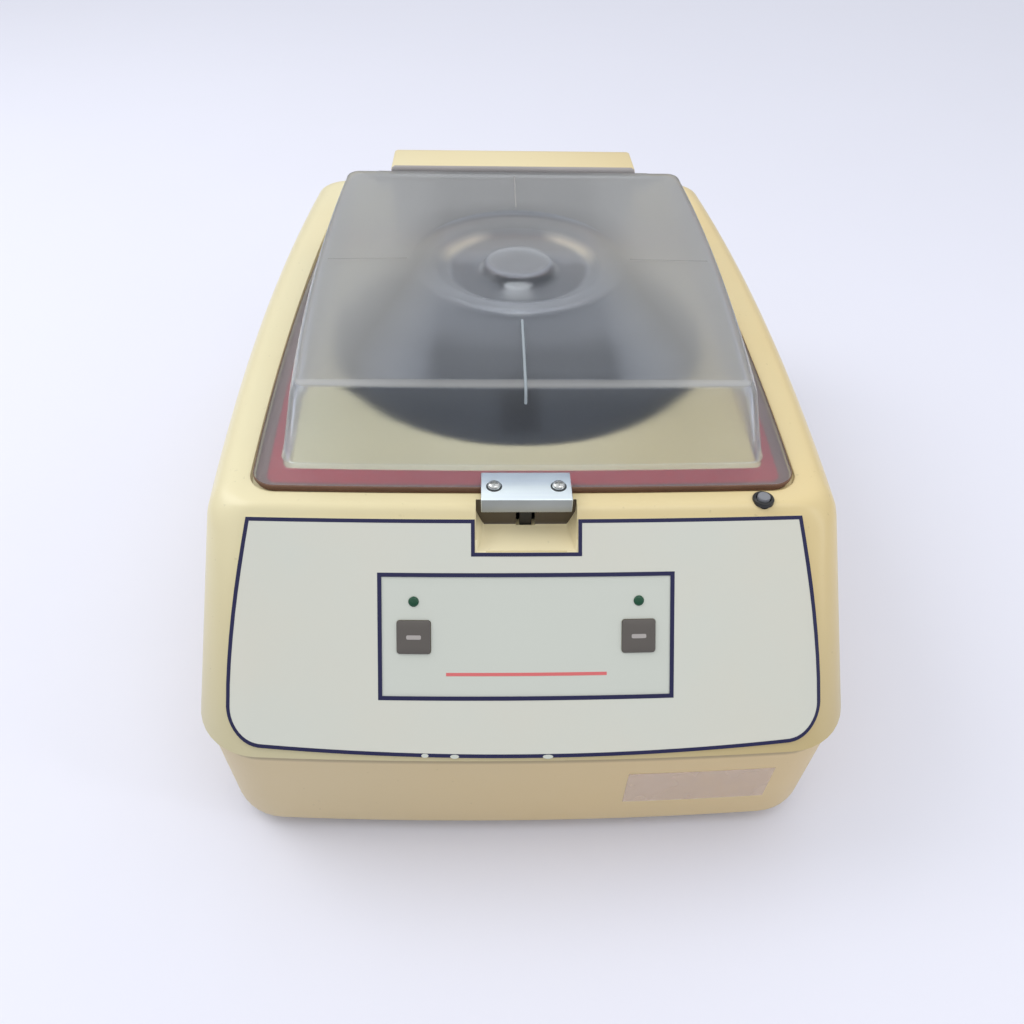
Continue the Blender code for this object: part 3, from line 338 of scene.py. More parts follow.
# brown of the seal's lip, also painted on the flange's outer edges as shadow of the gap round it
LIP_AND_GAP_SHADE = surface("seal_lip_and_gap_shade_brown", (120, 88, 72), 0.6, 0.12, 0.03, 700.0)
BLACK = surface("black_plastic", (30, 30, 32), 0.42, 0.15, 0.02)
DARK = surface("chamber_black", (20, 28, 36), 0.62, 0.18, 0.02, 900.0)
MATT = surface("rotor_black", (20, 26, 32), 0.66, 0.12, 0.02, 900.0)
FAINT = surface("faint_mark", (148, 146, 145), 0.5, 0.05, 0.0)
# grey painted shade for the hump's front face, in the gap behind the lid
HUMP_FRONT_SHADE = surface("hump_front_painted_shade", (168, 163, 162), 0.5, 0.06, 0.01)
RUBBER = surface("black_rubber", (26, 26, 26), 0.82, 0.15, 0.04, 800.0)
ALUMINIUM = surface("brushed_aluminium", (238, 248, 255), 0.34, 0.05, 0.006, 500.0, 1.0,
                    stretch=(0.06, 1.0, 1.0), patch=260.0)
STEEL = surface("bright_steel", (205, 206, 204), 0.22, 0.06, 0.004, 700.0, 1.0)
# darker copy of the aluminium for the latch's front face: painted shade
LATCH_FRONT_SHADE = surface("aluminium_front_painted_shade", (170, 173, 168), 0.5, 0.05, 0.006, 500.0, 1.0)
SATIN = surface("satin_aluminium", (214, 212, 204), 0.5, 0.04, 0.006, 500.0, 1.0)
ZINC = surface("zinc_plate", (172, 174, 170), 0.40, 0.12, 0.01, 500.0, 1.0, patch=60.0)
BRASS = surface("tinned_brass", (206, 190, 150), 0.28, 0.08, 0.004, 500.0, 1.0)
GREY = surface("grey_cap", (126, 128, 134), 0.38, 0.05, 0.012)
LENS = surface("green_lens", (14, 74, 48), 0.3, 0.10, 0.004)
BOARD = surface("solder_mask", (28, 96, 58), 0.35, 0.15, 0.03, 300.0)
COPPER = surface("wound_copper", (190, 108, 62), 0.38, 0.2, 0.05, 420.0, 0.9,
                 stretch=(1.0, 1.0, 6.0))
IRON = surface("laminated_iron", (74, 76, 80), 0.5, 0.15, 0.05, 300.0, 0.7,
               stretch=(0.05, 1.0, 1.0))
TAPE = tape("old_tape")
FINISH = {"housing": CREAM, "base": TAN, "smoke": SMOKE, "overlay": FILM, "window": FIELD,
          "key": KEY, "led": LENS, "gasket": RED, "black": BLACK, "slate": DARK,
          "aluminium": ALUMINIUM, "steel": STEEL, "zinc": ZINC, "rubber": RUBBER, "board": BOARD,
          "copper": COPPER, "grey": GREY, "magnet": IRON}


def finish_cad_nodes():
    """Every CAD node gets the worked-up finish of its material slot."""
    for part in frame["record"]["subparts"]:
        mesh = frame["nodes"][part["node"]].data
        mesh.materials.clear()
        mesh.materials.append(FINISH[part["material_slot"]])


# ---- mesh helpers
def add_object(name, data):
    obj = bpy.data.objects.new(name, data)
    bpy.context.scene.collection.objects.link(obj)
    return obj


def to_mesh(bm, name):
    """A mesh with the bmesh's faces; the bmesh is used up."""
    mesh = bpy.data.meshes.new(name)
    bm.to_mesh(mesh)
    bm.free()
    return mesh


def piece(name, bm, finishes, body=ROOT, replaces=(), crisp=32.0):
    """A named visual piece from a bmesh in millimetres."""
    bmesh.ops.recalc_face_normals(bm, faces=bm.faces)
    if bm.calc_volume(signed=True) < 0:
        bmesh.ops.reverse_faces(bm, faces=bm.faces)
    bmesh.ops.scale(bm, vec=(MM, MM, MM), verts=bm.verts)
    mesh = to_mesh(bm, name)
    mesh.shade_smooth()
    mesh.set_sharp_from_angle(angle=radians(crisp))
    for finish in finishes if isinstance(finishes, (list, tuple)) else [finishes]:
        mesh.materials.append(finish)
    obj = add_object(name, mesh)
    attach(obj, body)
    if replaces:
        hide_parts(*replaces)
    return obj


def combine(bm, tool, operation="DIFFERENCE"):
    """Cuts one closed bmesh with another, or joins them, and returns the result."""
    objects = []
    for source in (bm, tool):
        bmesh.ops.recalc_face_normals(source, faces=source.faces)
        objects.append(add_object("work", to_mesh(source, "work")))
    step = objects[0].modifiers.new("step", "BOOLEAN")
    step.operation = operation
    step.object = objects[1]
    graph = bpy.context.evaluated_depsgraph_get()
    result = bmesh.new()
    result.from_object(objects[0], graph)
    for obj in objects:
        bpy.data.objects.remove(obj, do_unlink=True)
    return result


def skin(rings, closed=False):
    """Faces between rings of equal length.  A closed chain meets its start;
    an open one is capped at both ends."""
    bm = bmesh.new()
    loops = [[bm.verts.new(point) for point in ring] for ring in rings]
    count = len(loops[0])
    following = loops[1:] + loops[:1] if closed else loops[1:]
    for low, high in zip(loops, following):
        for i in range(count):
            j = (i + 1) % count
            bm.faces.new((low[i], low[j], high[j], high[i]))
    if not closed:
        bm.faces.new(reversed(loops[0]))
        bm.faces.new(loops[-1])
    return bm


def circle(radius, z, centre=(0.0, 0.0), segments=48):
    turn = 2 * pi / segments
    return [(centre[0] + radius * cos(i * turn), centre[1] + radius * sin(i * turn), z)
            for i in range(segments)]


def turned(profile, centre=(0.0, 0.0), segments=48, closed=False):
    """A body turned about an upright axis from (radius, z) points."""
    return skin([circle(r, z, centre, segments) for r, z in profile], closed)


def soften(bm, edges, offset, segments, clamp=False):
    bmesh.ops.bevel(bm, geom=edges, offset=offset, segments=segments, profile=0.5,
                    affect="EDGES", clamp_overlap=clamp)


def box(low, high, round_off=0.0, segments=2):
    """A block between two corners, with its edges rounded off."""
    bm = bmesh.new()
    size = [b - a for a, b in zip(low, high)]
    middle = [(a + b) / 2 for a, b in zip(low, high)]
    place = Matrix.Translation(middle) @ Matrix.Diagonal((*size, 1.0))
    bmesh.ops.create_cube(bm, size=1.0, matrix=place)
    if round_off:
        soften(bm, bm.edges[:], round_off, segments)
    return bm


def prism_x(profile, low, high, round_off=0.0, segments=3):
    """A (y, z) outline drawn out along X, with its edges rounded off."""
    bm = skin([[(x, y, z) for y, z in profile] for x in (low, high)])
    if round_off:
        soften(bm, bm.edges[:], round_off, segments, True)
    return bm


def lying(profile, centre, axis="Y", segments=32):
    """A body turned about a level axis from (radius, distance) points."""
    turn = 2 * pi / segments
    rings = []
    for radius, along in profile:
        ring = []
        for i in range(segments):
            a, b = radius * cos(i * turn), radius * sin(i * turn)
            offset = (a, along, b) if axis == "Y" else (along, a, b)
            ring.append(tuple(c + o for c, o in zip(centre, offset)))
        rings.append(ring)
    return skin(rings)


# ---- plan outlines
FRONT_STEPS, CORNER_STEPS, SIDE_STEPS, REAR_STEPS = 14, 10, 22, 10


def blend(a, b, t):
    return a + (b - a) * t


def outline(front, rear, half, radius, bulge=0.0, bow=0.0):
    """Rounded rectangle whose sides bulge and whose front bows forward,
    anticlockwise from the middle of the front."""
    flat = half - radius
    side_low, side_high = front + radius, rear - radius
    middle = (front + rear) / 2
    right = [(flat * i / FRONT_STEPS, front) for i in range(FRONT_STEPS)]
    for i in range(CORNER_STEPS):
        a = pi / 2 * i / CORNER_STEPS
        right.append((flat + radius * sin(a), front + radius * (1 - cos(a))))
    for i in range(SIDE_STEPS):
        right.append((half, side_low + (side_high - side_low) * i / SIDE_STEPS))
    for i in range(CORNER_STEPS):
        a = pi / 2 * i / CORNER_STEPS
        right.append((flat + radius * cos(a), side_high + radius * sin(a)))
    right += [(flat * (1 - i / REAR_STEPS), rear) for i in range(REAR_STEPS + 1)]
    bent = []
    for x, y in right:
        t = min(1.0, max(-1.0, (y - middle) / (side_high - middle)))
        fade = min(1.0, max(0.0, (middle - y) / (middle - side_low)))
        bent.append((x * (1 + bulge / half * (1 - t * t)), y + bow * fade * (x / half) ** 2))
    return bent + [(-x, y) for x, y in reversed(bent[1:-1])]


def level(points, z):
    return [(x, y, z) for x, y in points]


def around(points, radius, z):
    """A circle about the rotor axis with a point for each outline point."""
    ring = []
    for x, y in points:
        scale = radius / sqrt(x * x + y * y)
        ring.append((x * scale, y * scale, z))
    return ring


# ---- the housing's surface
def fall(z):
    return (DECK_Z - z) / DROP


def front_y(z, inset=0.0):
    depth = DECK_Z - z
    tangent = BROW * (1 - cos(SLOPE))
    if depth < tangent:
        start = FRONT_EDGE_Y + BROW * sin(SLOPE) / (1 + cos(SLOPE))
        return start - sqrt(max(0.0, BROW ** 2 - (BROW - depth) ** 2)) + inset
    return FRONT_EDGE_Y - depth / DROP * FRONT_RUN + inset


def shoulder(z):
    depth = DECK_Z - z
    return 0.0 if depth >= SHOULDER else SHOULDER - sqrt(SHOULDER ** 2 - (SHOULDER - depth) ** 2)


def half_width(z):
    return blend(HALF_DECK, HALF_SEAM, fall(z)) - shoulder(z)


def corner_radius(z):
    return blend(CORNER_DECK, CORNER_SEAM, fall(z))


def bow(z):
    return blend(BOW_DECK, BOW_SEAM, fall(z))


def housing_ring(z, wall=0.0, at=None):
    """The housing's outline at a height, or a wall further in."""
    rear = REAR_Y - shoulder(z) - 2.0 * (1 - fall(z)) - wall
    points = outline(front_y(z, wall / sin(SLOPE)), rear, half_width(z) - wall,
                     corner_radius(z) - min(wall, 3.0),
                     blend(BULGE_DECK, BULGE_SEAM, fall(z)), bow(z))
    return level(points, z if at is None else at)


def on_front(x, slant, height):
    """A point on the sloped front: X, distance down the slope, and height."""
    z = DECK_Z - slant * sin(SLOPE)
    half, radius = half_width(z), corner_radius(z)
    beyond = max(0.0, abs(x) - (half - radius))
    corner = radius - sqrt(max(0.0, radius ** 2 - beyond ** 2))
    y = FRONT_EDGE_Y - slant * cos(SLOPE) + bow(z) * (x / half) ** 2 + corner
    lean = 2 * bow(z) * x / half ** 2
    if beyond:
        lean += (1 if x > 0 else -1) * beyond / sqrt(max(1.0, radius ** 2 - beyond ** 2))
    normal = Vector((lean * sin(SLOPE), -sin(SLOPE), cos(SLOPE))).normalized()
    return Vector((x, y, z)) + normal * height


# ---- housing and base
def well_outline(inset=0.0):
    reach = WELL_MARGIN - inset
    return outline(LID_FRONT - reach, WELL_REAR - inset, LID_HALF + reach, LID_CORNER + reach,
                   LID_BULGE, LID_BOW)


def make_hump():
    """Hinge hump: upright front, rounded brow and a long sloping back."""
    foot = DECK_Z - 3.0
    points = [(HUMP_FOOT_REAR + 1.8, foot), (HUMP_FRONT, foot), (HUMP_FRONT, HUMP_TOP - HUMP_BROW)]
    for i in range(1, 9):
        a = pi / 2 * i / 8
        points.append((HUMP_FRONT + HUMP_BROW * (1 - cos(a)), HUMP_TOP - HUMP_BROW * (1 - sin(a))))
    crest = 9.0
    back = atan2(HUMP_TOP - DECK_Z, HUMP_FOOT_REAR - HUMP_CREST_REAR - crest * 0.3)
    for i in range(7):
        a = back * i / 6
        points.append((HUMP_CREST_REAR - 2.5 + crest * sin(a), HUMP_TOP - crest * (1 - cos(a))))
    rings = []
    for inset, x in ((1.6, 0.0), (0.5, 0.5), (0.0, 1.6)):
        rings.append([(x - HUMP_HALF, y, z - inset if z > foot else z) for y, z in points])
    rings += [[(-x, y, z) for x, y, z in ring] for ring in reversed(rings)]
    return skin(rings)


def make_housing():
    edge = [point[:2] for point in housing_ring(DECK_Z)]
    rings = [around(edge, BOWL_HOLE, DECK_UNDERSIDE)]
    for grow, z in ((0.0, 127.3), (0.12, 127.7), (0.4, 127.92), (0.9, WELL_Z)):
        rings.append(around(edge, BOWL_HOLE + grow, z))
    for inset, z in ((1.0, WELL_Z), (0.4, 128.12), (0.1, 128.5), (0.0, 129.0), (-0.04, 129.5),
                     (-0.25, 129.85), (-0.8, DECK_Z)):
        rings.append(level(well_outline(inset), z))
    for z in (130.0, 129.95, 129.8, 129.5, 129.0, 128.4, 127.4, 126.2, 124.8, 123.0, 121.0, 110.0,
              95.0, 80.0, 66.0, 60.3):
        rings.append(housing_ring(z))
    rings += [housing_ring(60.3, 0.1, 60.1), housing_ring(60.3, 0.4, SEAM_Z)]
    rings += [housing_ring(z, WALL) for z in (SEAM_Z, 90.0, 112.0, DECK_UNDERSIDE)]
    shell = skin(rings, closed=True)
    shell = combine(shell, make_hump(), "UNION")

    reach, deep = RECESS_HALF + WALL, RECESS_FLOOR - WALL
    back = RECESS_BACK + WALL
    block = [(front_y(deep, 1.6), deep), (back, deep), (back, DECK_UNDERSIDE + 1.0),
             (front_y(DECK_UNDERSIDE + 1.0, 1.6), DECK_UNDERSIDE + 1.0)]
    shell = combine(shell, prism_x(block, -reach, reach), "UNION")
    shell = combine(shell, recess_cutter())
    slot_cut = box((-HOOK_SLOT_HALF, RECESS_BACK - 1.0, RECESS_FLOOR + 0.2),
                   (HOOK_SLOT_HALF, HOOK_SLOT_REAR, DECK_Z + 10.0))
    shell = combine(shell, slot_cut)
    hole = turned([(BUTTON_HOLE, 110.0), (BUTTON_HOLE, 140.0)], (BUTTON_X, BUTTON_Y), 32)
    shell = combine(shell, hole)
    for face in shell.faces:
        middle = face.calc_center_median()
        # the hump's front face gets grey painted shade
        if middle.z > DECK_Z and 90.0 < middle.y < 99.0 and face.normal.y < -0.45:
            face.material_index = 1
        # the finger recess gets the lighter cream as painted light, and its back wall painted
        # shadow
        elif abs(middle.x) < RECESS_HALF + 0.1 and middle.y < -112.0 and 115.0 < middle.z < 129.0:
            face.material_index = 3 if face.normal.y < -0.7 and middle.y > RECESS_BACK - 1.0 else 2
    piece("housing_skin", shell, [CREAM, HUMP_FRONT_SHADE, RECESS_LIT_CREAM, SHADED],
          replaces=["upper_housing"])


def recess_cutter():
    """The finger recess: a scoop whose sides slant in to a floor that rises."""
    lean, rise = 2.4, 0.8
    lip, half, over = RECESS_FLOOR + 0.2, RECESS_HALF, DECK_Z + 10.0
    sections = []
    for y, narrow, floor in ((-150.0, 0.0, RECESS_FLOOR - 0.6), (-131.0, 0.4, lip),
                             (RECESS_BACK - 3.0, lean, lip + 0.2), (RECESS_BACK, lean, lip + rise)):
        foot, bend = half - narrow, floor + 6.0
        sections.append([(-foot, y, floor), (foot, y, floor), (half, y, bend),
                         (half, y, over), (-half, y, over), (-half, y, bend)])
    bm = skin(sections)
    bmesh.ops.recalc_face_normals(bm, faces=bm.faces)
    low = [edge for edge in bm.edges if all(v.co.z < RECESS_FLOOR + 4.5 for v in edge.verts)
           and all(v.co.y > -140.0 for v in edge.verts)]
    soften(bm, low, 1.2, 3, True)
    return bm


def base_ring(z, wall=0.0):
    """The base tub's outline at a height: it tapers in towards the floor."""
    t = max(0.0, (SEAM_Z - z) / (SEAM_Z - BASE_Z))
    rise = max(0.0, BASE_Z + BASE_FILLET - z)
    round_in = BASE_FILLET - sqrt(BASE_FILLET ** 2 - rise ** 2) if rise else 0.0
    front = NOSE_Y + SEAM_STEP + BASE_RAKE * t + round_in + wall
    rear = REAR_Y - SEAM_STEP - round_in - wall
    half = HALF_SEAM - SEAM_STEP - BASE_TAPER * t - round_in - wall
    radius = CORNER_SEAM - 3.0 * t - min(round_in, 5.0) - min(wall, 3.0)
    return level(outline(front, rear, half, radius, BULGE_SEAM, BOW_SEAM), z)


def make_base():
    floor, rim = BASE_Z + 3.5, SEAM_Z - 0.4
    outer = [BASE_Z, 5.1, 5.4, 6.0, 6.9, 8.1, 9.5, 11.0, 25.0, 40.0, rim]
    rings = [base_ring(z) for z in outer]
    rings += [base_ring(z, WALL) for z in (rim, 35.0, 14.0, 10.0, floor)]
    tub = skin(rings)
    tub = combine(tub, box(*REAR_OPENING, 1.2))
    for i in range(7):
        x = VENT_PITCH * (i - 3)
        tub = combine(tub, box((x - VENT_HALF, VENT_FRONT, 0.0), (x + VENT_HALF, VENT_REAR, 12.0)))
    for place in SCREW_PLACES:
        tub = combine(tub, turned([(4.2, 2.0), (4.2, 12.0)], place, 24))
    piece("base_skin", tub, TAN, replaces=["base_shell"])


def make_feet():
    for i, place in enumerate(FOOT_PLACES):
        top = BASE_Z - 0.3
        profile = [(1.0, 0.6), (3.0, 0.6), (3.3, 0.0), (8.2, 0.0), (9.0, 0.25), (FOOT_RADIUS, 1.1),
                   (FOOT_RADIUS, top)]
        piece(f"foot_pad_{i + 1}", turned(profile, place), RUBBER,
              replaces=[f"foot_{i + 1}"])


# ---- front panel
def panel_outline():
    """The overlay's edge in (X, slant), notched at the top for the recess."""
    sag, radius = 2.4, 13.0
    low = PANEL_BOTTOM - sag
    points = [(NOTCH_HALF, PANEL_TOP), (PANEL_HALF_TOP, PANEL_TOP)]
    for i in range(1, 9):
        t = i / 8
        x = blend(PANEL_HALF_TOP, PANEL_HALF_LOW, 1 - (1 - t) ** 1.6)
        points.append((x, blend(PANEL_TOP, low - radius, t)))
    for i in range(1, 13):
        a = pi / 2 * i / 12
        points.append((PANEL_HALF_LOW - radius * (1 - cos(a)), low - radius * (1 - sin(a))))
    reach = PANEL_HALF_LOW - radius
    for i in range(1, 13):
        x = reach * (1 - i / 12)
        points.append((x, PANEL_BOTTOM - sag * (x / reach) ** 2))
    left = [(-x, s) for x, s in reversed(points[:-1])]
    return points + left + [(-NOTCH_HALF, NOTCH_DEPTH), (NOTCH_HALF, NOTCH_DEPTH)]


def rectangle(half, top, bottom, centre=0.0):
    return [(centre - half, top), (centre + half, top), (centre + half, bottom),
            (centre - half, bottom)]


def rounded(half, top, bottom, radius, centre=0.0, steps=5):
    """A rectangle with round corners, in (X, slant)."""
    points = []
    corners = ((half - radius, top + radius, -pi / 2), (half - radius, bottom - radius, 0.0),
               (radius - half, bottom - radius, pi / 2), (radius - half, top + radius, pi))
    for x, s, start in corners:
        for i in range(steps + 1):
            a = start + pi / 2 * i / steps
            points.append((centre + x + radius * cos(a), s + radius * sin(a)))
    return points


def dense(loop, step=4.0):
    """The same loop with extra points along its long sides."""
    points = []
    for (ax, ay), (bx, by) in zip(loop, loop[1:] + loop[:1]):
        count = max(1, int(sqrt((bx - ax) ** 2 + (by - ay) ** 2) / step))
        points += [(blend(ax, bx, i / count), blend(ay, by, i / count)) for i in range(count)]
    return points


def shrunk(loop, distance):
    """The loop moved inward by a distance, with mitred corners."""
    area = sum(ax * by - bx * ay for (ax, ay), (bx, by) in zip(loop, loop[1:] + loop[:1]))
    side = 1.0 if area > 0 else -1.0
    moved = []
    for before, here, after in zip(loop[-1:] + loop[:-1], loop, loop[1:] + loop[:1]):
        first = Vector((before[1] - here[1], here[0] - before[0])).normalized() * side
        second = Vector((here[1] - after[1], after[0] - here[0])).normalized() * side
        step = (first + second) * distance / (1 + first.dot(second))
        moved.append((here[0] + step.x, here[1] + step.y))
    return moved


def sheet(loops, low, high, columns=(), rows=()):
    """A thin sheet that hugs the sloped front; the first loop is its edge and
    the others are holes, all in (X, slant)."""
    bm = bmesh.new()
    edges = []
    for loop in loops:
        verts = [bm.verts.new((x, s, 0.0)) for x, s in loop]
        edges += [bm.edges.new(pair) for pair in zip(verts, verts[1:] + verts[:1])]
    bmesh.ops.triangle_fill(bm, use_beauty=True, use_dissolve=True, edges=edges)
    cuts = [((x, 0.0, 0.0), (1.0, 0.0, 0.0)) for x in columns]
    cuts += [((0.0, s, 0.0), (0.0, 1.0, 0.0)) for s in rows]
    for point, normal in cuts:
        bmesh.ops.bisect_plane(bm, geom=bm.verts[:] + bm.edges[:] + bm.faces[:], plane_co=point,
                               plane_no=normal, dist=1e-5)
    flat = bm.verts[:]
    made = bmesh.ops.extrude_face_region(bm, geom=bm.faces[:])
    for vert in [item for item in made["geom"] if isinstance(item, bmesh.types.BMVert)]:
        vert.co = on_front(vert.co.x, vert.co.y, high)
    for vert in flat:
        if vert.is_valid:
            vert.co = on_front(vert.co.x, vert.co.y, low)
    return bm


def lifted(loop, height):
    return [on_front(x, s, height) for x, s in loop]


def printed_line(loop, width, low, high):
    """A closed line of ink along the inside of a loop."""
    outer = dense(loop)
    inner = shrunk(outer, width)
    rings = [lifted(outer, low), lifted(outer, high), lifted(inner, high), lifted(inner, low)]
    return skin(rings, closed=True)


def make_front_panel():
    line, raised = 1.35, OVERLAY_TOP + 0.05
    frame_loop = rectangle(WINDOW_HALF, WINDOW_TOP, WINDOW_BOTTOM)
    hole = shrunk(frame_loop, 0.9)
    columns = [side * x for side in (-1, 1) for x in (15, 30, 45, 60, 75, 84, *range(88, 107, 2))]
    film = sheet([panel_outline(), hole], 0.05, OVERLAY_TOP, columns, range(6, 88, 6))
    piece("panel_film", film, FILM, replaces=["front_overlay"])
    edge = printed_line(panel_outline(), line, OVERLAY_TOP, raised)
    piece("panel_outline", edge, NAVY)
    border = printed_line(frame_loop, 1.45, 0.3, raised)
    piece("window_outline", border, NAVY)

    half = KEY_SIZE / 2 + 0.15
    holes = [rounded(half, KEY_S - half, KEY_S + half, 1.2, side * KEY_X) for side in (-1, 1)]
    field = sheet([shrunk(frame_loop, 1.35), *holes], 0.05, 0.62, (-25, -12, 0, 12, 25), (28, 62))
    piece("window_field", field, FIELD, replaces=["control_window"])
    stripe = sheet([rectangle(28.5, 58.9, 60.1)], 0.62, 0.68, (-14, 0, 14))
    piece("window_stripe", stripe, PINK)

    nicks = bmesh.new()
    for x, s, half in ((-36.1, 88.6, 1.3), (-25.6, 88.9, 1.6), (7.6, 89.1, 1.9)):
        ring = [(x + half * cos(a), s + 0.75 * sin(a)) for a in (pi / 5 * i for i in range(10))]
        chip = skin([lifted(ring, height) for height in (raised, raised + 0.03)])
        nicks.from_mesh(to_mesh(chip, "chip"))
    piece("outline_nicks", nicks, FIELD)
    for side, word in SIDES:
        make_key(side * KEY_X, word)


def make_key(x, word):
    """A square key with a pale mark, and the lamp above it."""
    half = KEY_SIZE / 2
    rings = []
    for inset, height in ((0.0, 0.5), (0.0, 1.1), (0.12, 1.3), (0.4, 1.4), (2.5, 1.46)):
        loop = rounded(half - inset, KEY_S - half + inset, KEY_S + half - inset, 1.1, x)
        rings.append(lifted(loop, height))
    piece(f"key_cap_{word}", skin(rings), KEY, f"key_{word}", [f"key_{word}"])
    mark = rounded(2.6, KEY_S - 0.75, KEY_S + 0.75, 0.5, x, 3)
    ink = skin([lifted(mark, height) for height in (1.445, 1.5)])
    piece(f"key_mark_{word}", ink, PALE_INK, f"key_{word}")
    rings = []
    for radius, height in ((LED_RADIUS, 0.4), (LED_RADIUS, 0.8), (LED_RADIUS * 0.92, 1.0),
                           (LED_RADIUS * 0.7, 1.2), (LED_RADIUS * 0.35, 1.32)):
        loop = [point[:2] for point in circle(radius, 0.0, (x, LED_S), 24)]
        rings.append(lifted(loop, height))
    piece(f"lamp_{word}", skin(rings), LENS, replaces=[f"led_{word}"])


def make_tape():
    """A strip of old tape on the right of the base's front."""
    grids = []
    for lift in (0.05, 0.2):
        rows = []
        for i in range(4):
            z = blend(TAPE_LOW, TAPE_HIGH, i / 3)
            ring = [p for p in base_ring(z) if p[1] < 0 and p[0] >= 0]
            row = []
            for j in range(13):
                x = blend(TAPE_LEFT, TAPE_RIGHT, j / 12)
                after = next(k for k, p in enumerate(ring) if p[0] > x)
                a, b = ring[after - 1], ring[after]
                y = blend(a[1], b[1], (x - a[0]) / (b[0] - a[0]))
                row.append((x, y - lift, z))
            rows.append(row)
        grids.append(rows)
    rings = []
    for rows in grids:
        rings.append(rows[0] + [row[-1] for row in rows[1:-1]] + rows[-1][::-1]
                     + [row[0] for row in rows[-2:0:-1]])
    bm = bmesh.new()
    for rows in grids:
        verts = [[bm.verts.new(p) for p in row] for row in rows]
        for i in range(3):
            for j in range(12):
                bm.faces.new((verts[i][j], verts[i][j + 1], verts[i + 1][j + 1], verts[i + 1][j]))
    rim = skin(rings)
    bmesh.ops.delete(rim, geom=[f for f in rim.faces if len(f.verts) > 4], context="FACES_ONLY")
    bm.from_mesh(to_mesh(rim, "rim"))
    bmesh.ops.remove_doubles(bm, verts=bm.verts, dist=1e-4)
    piece("old_label_tape", bm, TAPE)


# ---- the lid
CIRCLE_RADIUS = 47.0
CROWN = 0.7               # how far the circle stands over the plane of the ridge
TOP_CORNER = 5.0
DISH = [(45.6, 0.06), (44.0, 0.25), (42.0, 0.42), (38.5, 0.75), (36.6, 1.15), (34.4, 2.1),
        (31.8, 3.5), (30.0, 4.1), (27.5, 4.35), (20.0, 4.6), (17.6, 4.5), (16.4, 3.9), (15.3, 2.6),
        (14.4, 1.3), (13.6, 0.55), (12.6, 0.16), (11.2, 0.0)]       # radius and depth


def ridge_plane(y):
    return RIDGE_Z + TOP_RISE * (y - RIDGE_FRONT) / (RIDGE_REAR - RIDGE_FRONT)


def dome_ring(t, wall=0.0):
    """The dome's side: t runs from 0 at its foot to 1 at the ridge."""
    points = outline(blend(DOME_FOOT_FRONT, RIDGE_FRONT, t) + wall,
                     blend(DOME_FOOT_REAR, RIDGE_REAR, t) - wall,
                     blend(DOME_FOOT_HALF, RIDGE_HALF, t) - wall, TOP_CORNER - wall,
                     blend(LID_BULGE, RIDGE_BULGE, t), blend(1.5, 1.0, t))
    foot = FLANGE_TOP if wall == 0.0 else FLANGE_BOTTOM
    return [(x, y, blend(foot, ridge_plane(y) - wall, t)) for x, y in points]


def top_ring(inset, drop):
    """A ring of the lid's top; its edge is rounded less at the back."""
    points = outline(RIDGE_FRONT + inset, RIDGE_REAR - inset * 0.4, RIDGE_HALF - inset,
                     TOP_CORNER - inset * 0.4, RIDGE_BULGE, 1.0)
    return [(x, y, ridge_plane(y) - drop) for x, y in points]


def lid_outline(z, front=0.0, side=0.0):
    """The flange's edge at a height, moved in at the front and elsewhere."""
    return level(outline(LID_FRONT + front, LID_REAR - side, LID_HALF - side,
                         LID_CORNER - min(side, 5.0), LID_BULGE, LID_BOW), z)


def top_rings(edge, sink):
    """The lid's top from its edge ring to the middle of the dished circle."""
    plan = [p[:2] for p in edge]
    disc = [(x, y, ridge_plane(y) + CROWN - sink) for x, y, _ in around(plan, CIRCLE_RADIUS, 0.0)]
    rings = [edge]
    for t in (0.25, 0.5, 0.75, 1.0):
        rings.append([tuple(blend(a, b, t) for a, b in zip(p, q)) for p, q in zip(edge, disc)])
    middle = ridge_plane(0.0) + CROWN - sink
    for radius, drop in DISH + [(6.0, 0.0), (0.8, 0.0)]:
        settle = min(1.0, (CIRCLE_RADIUS - radius) / 3.0)
        rings.append([(x, y, blend(ridge_plane(y) + CROWN - sink, middle, settle) - drop)
                      for x, y, _ in around(plan, radius, 0.0)])
    return rings


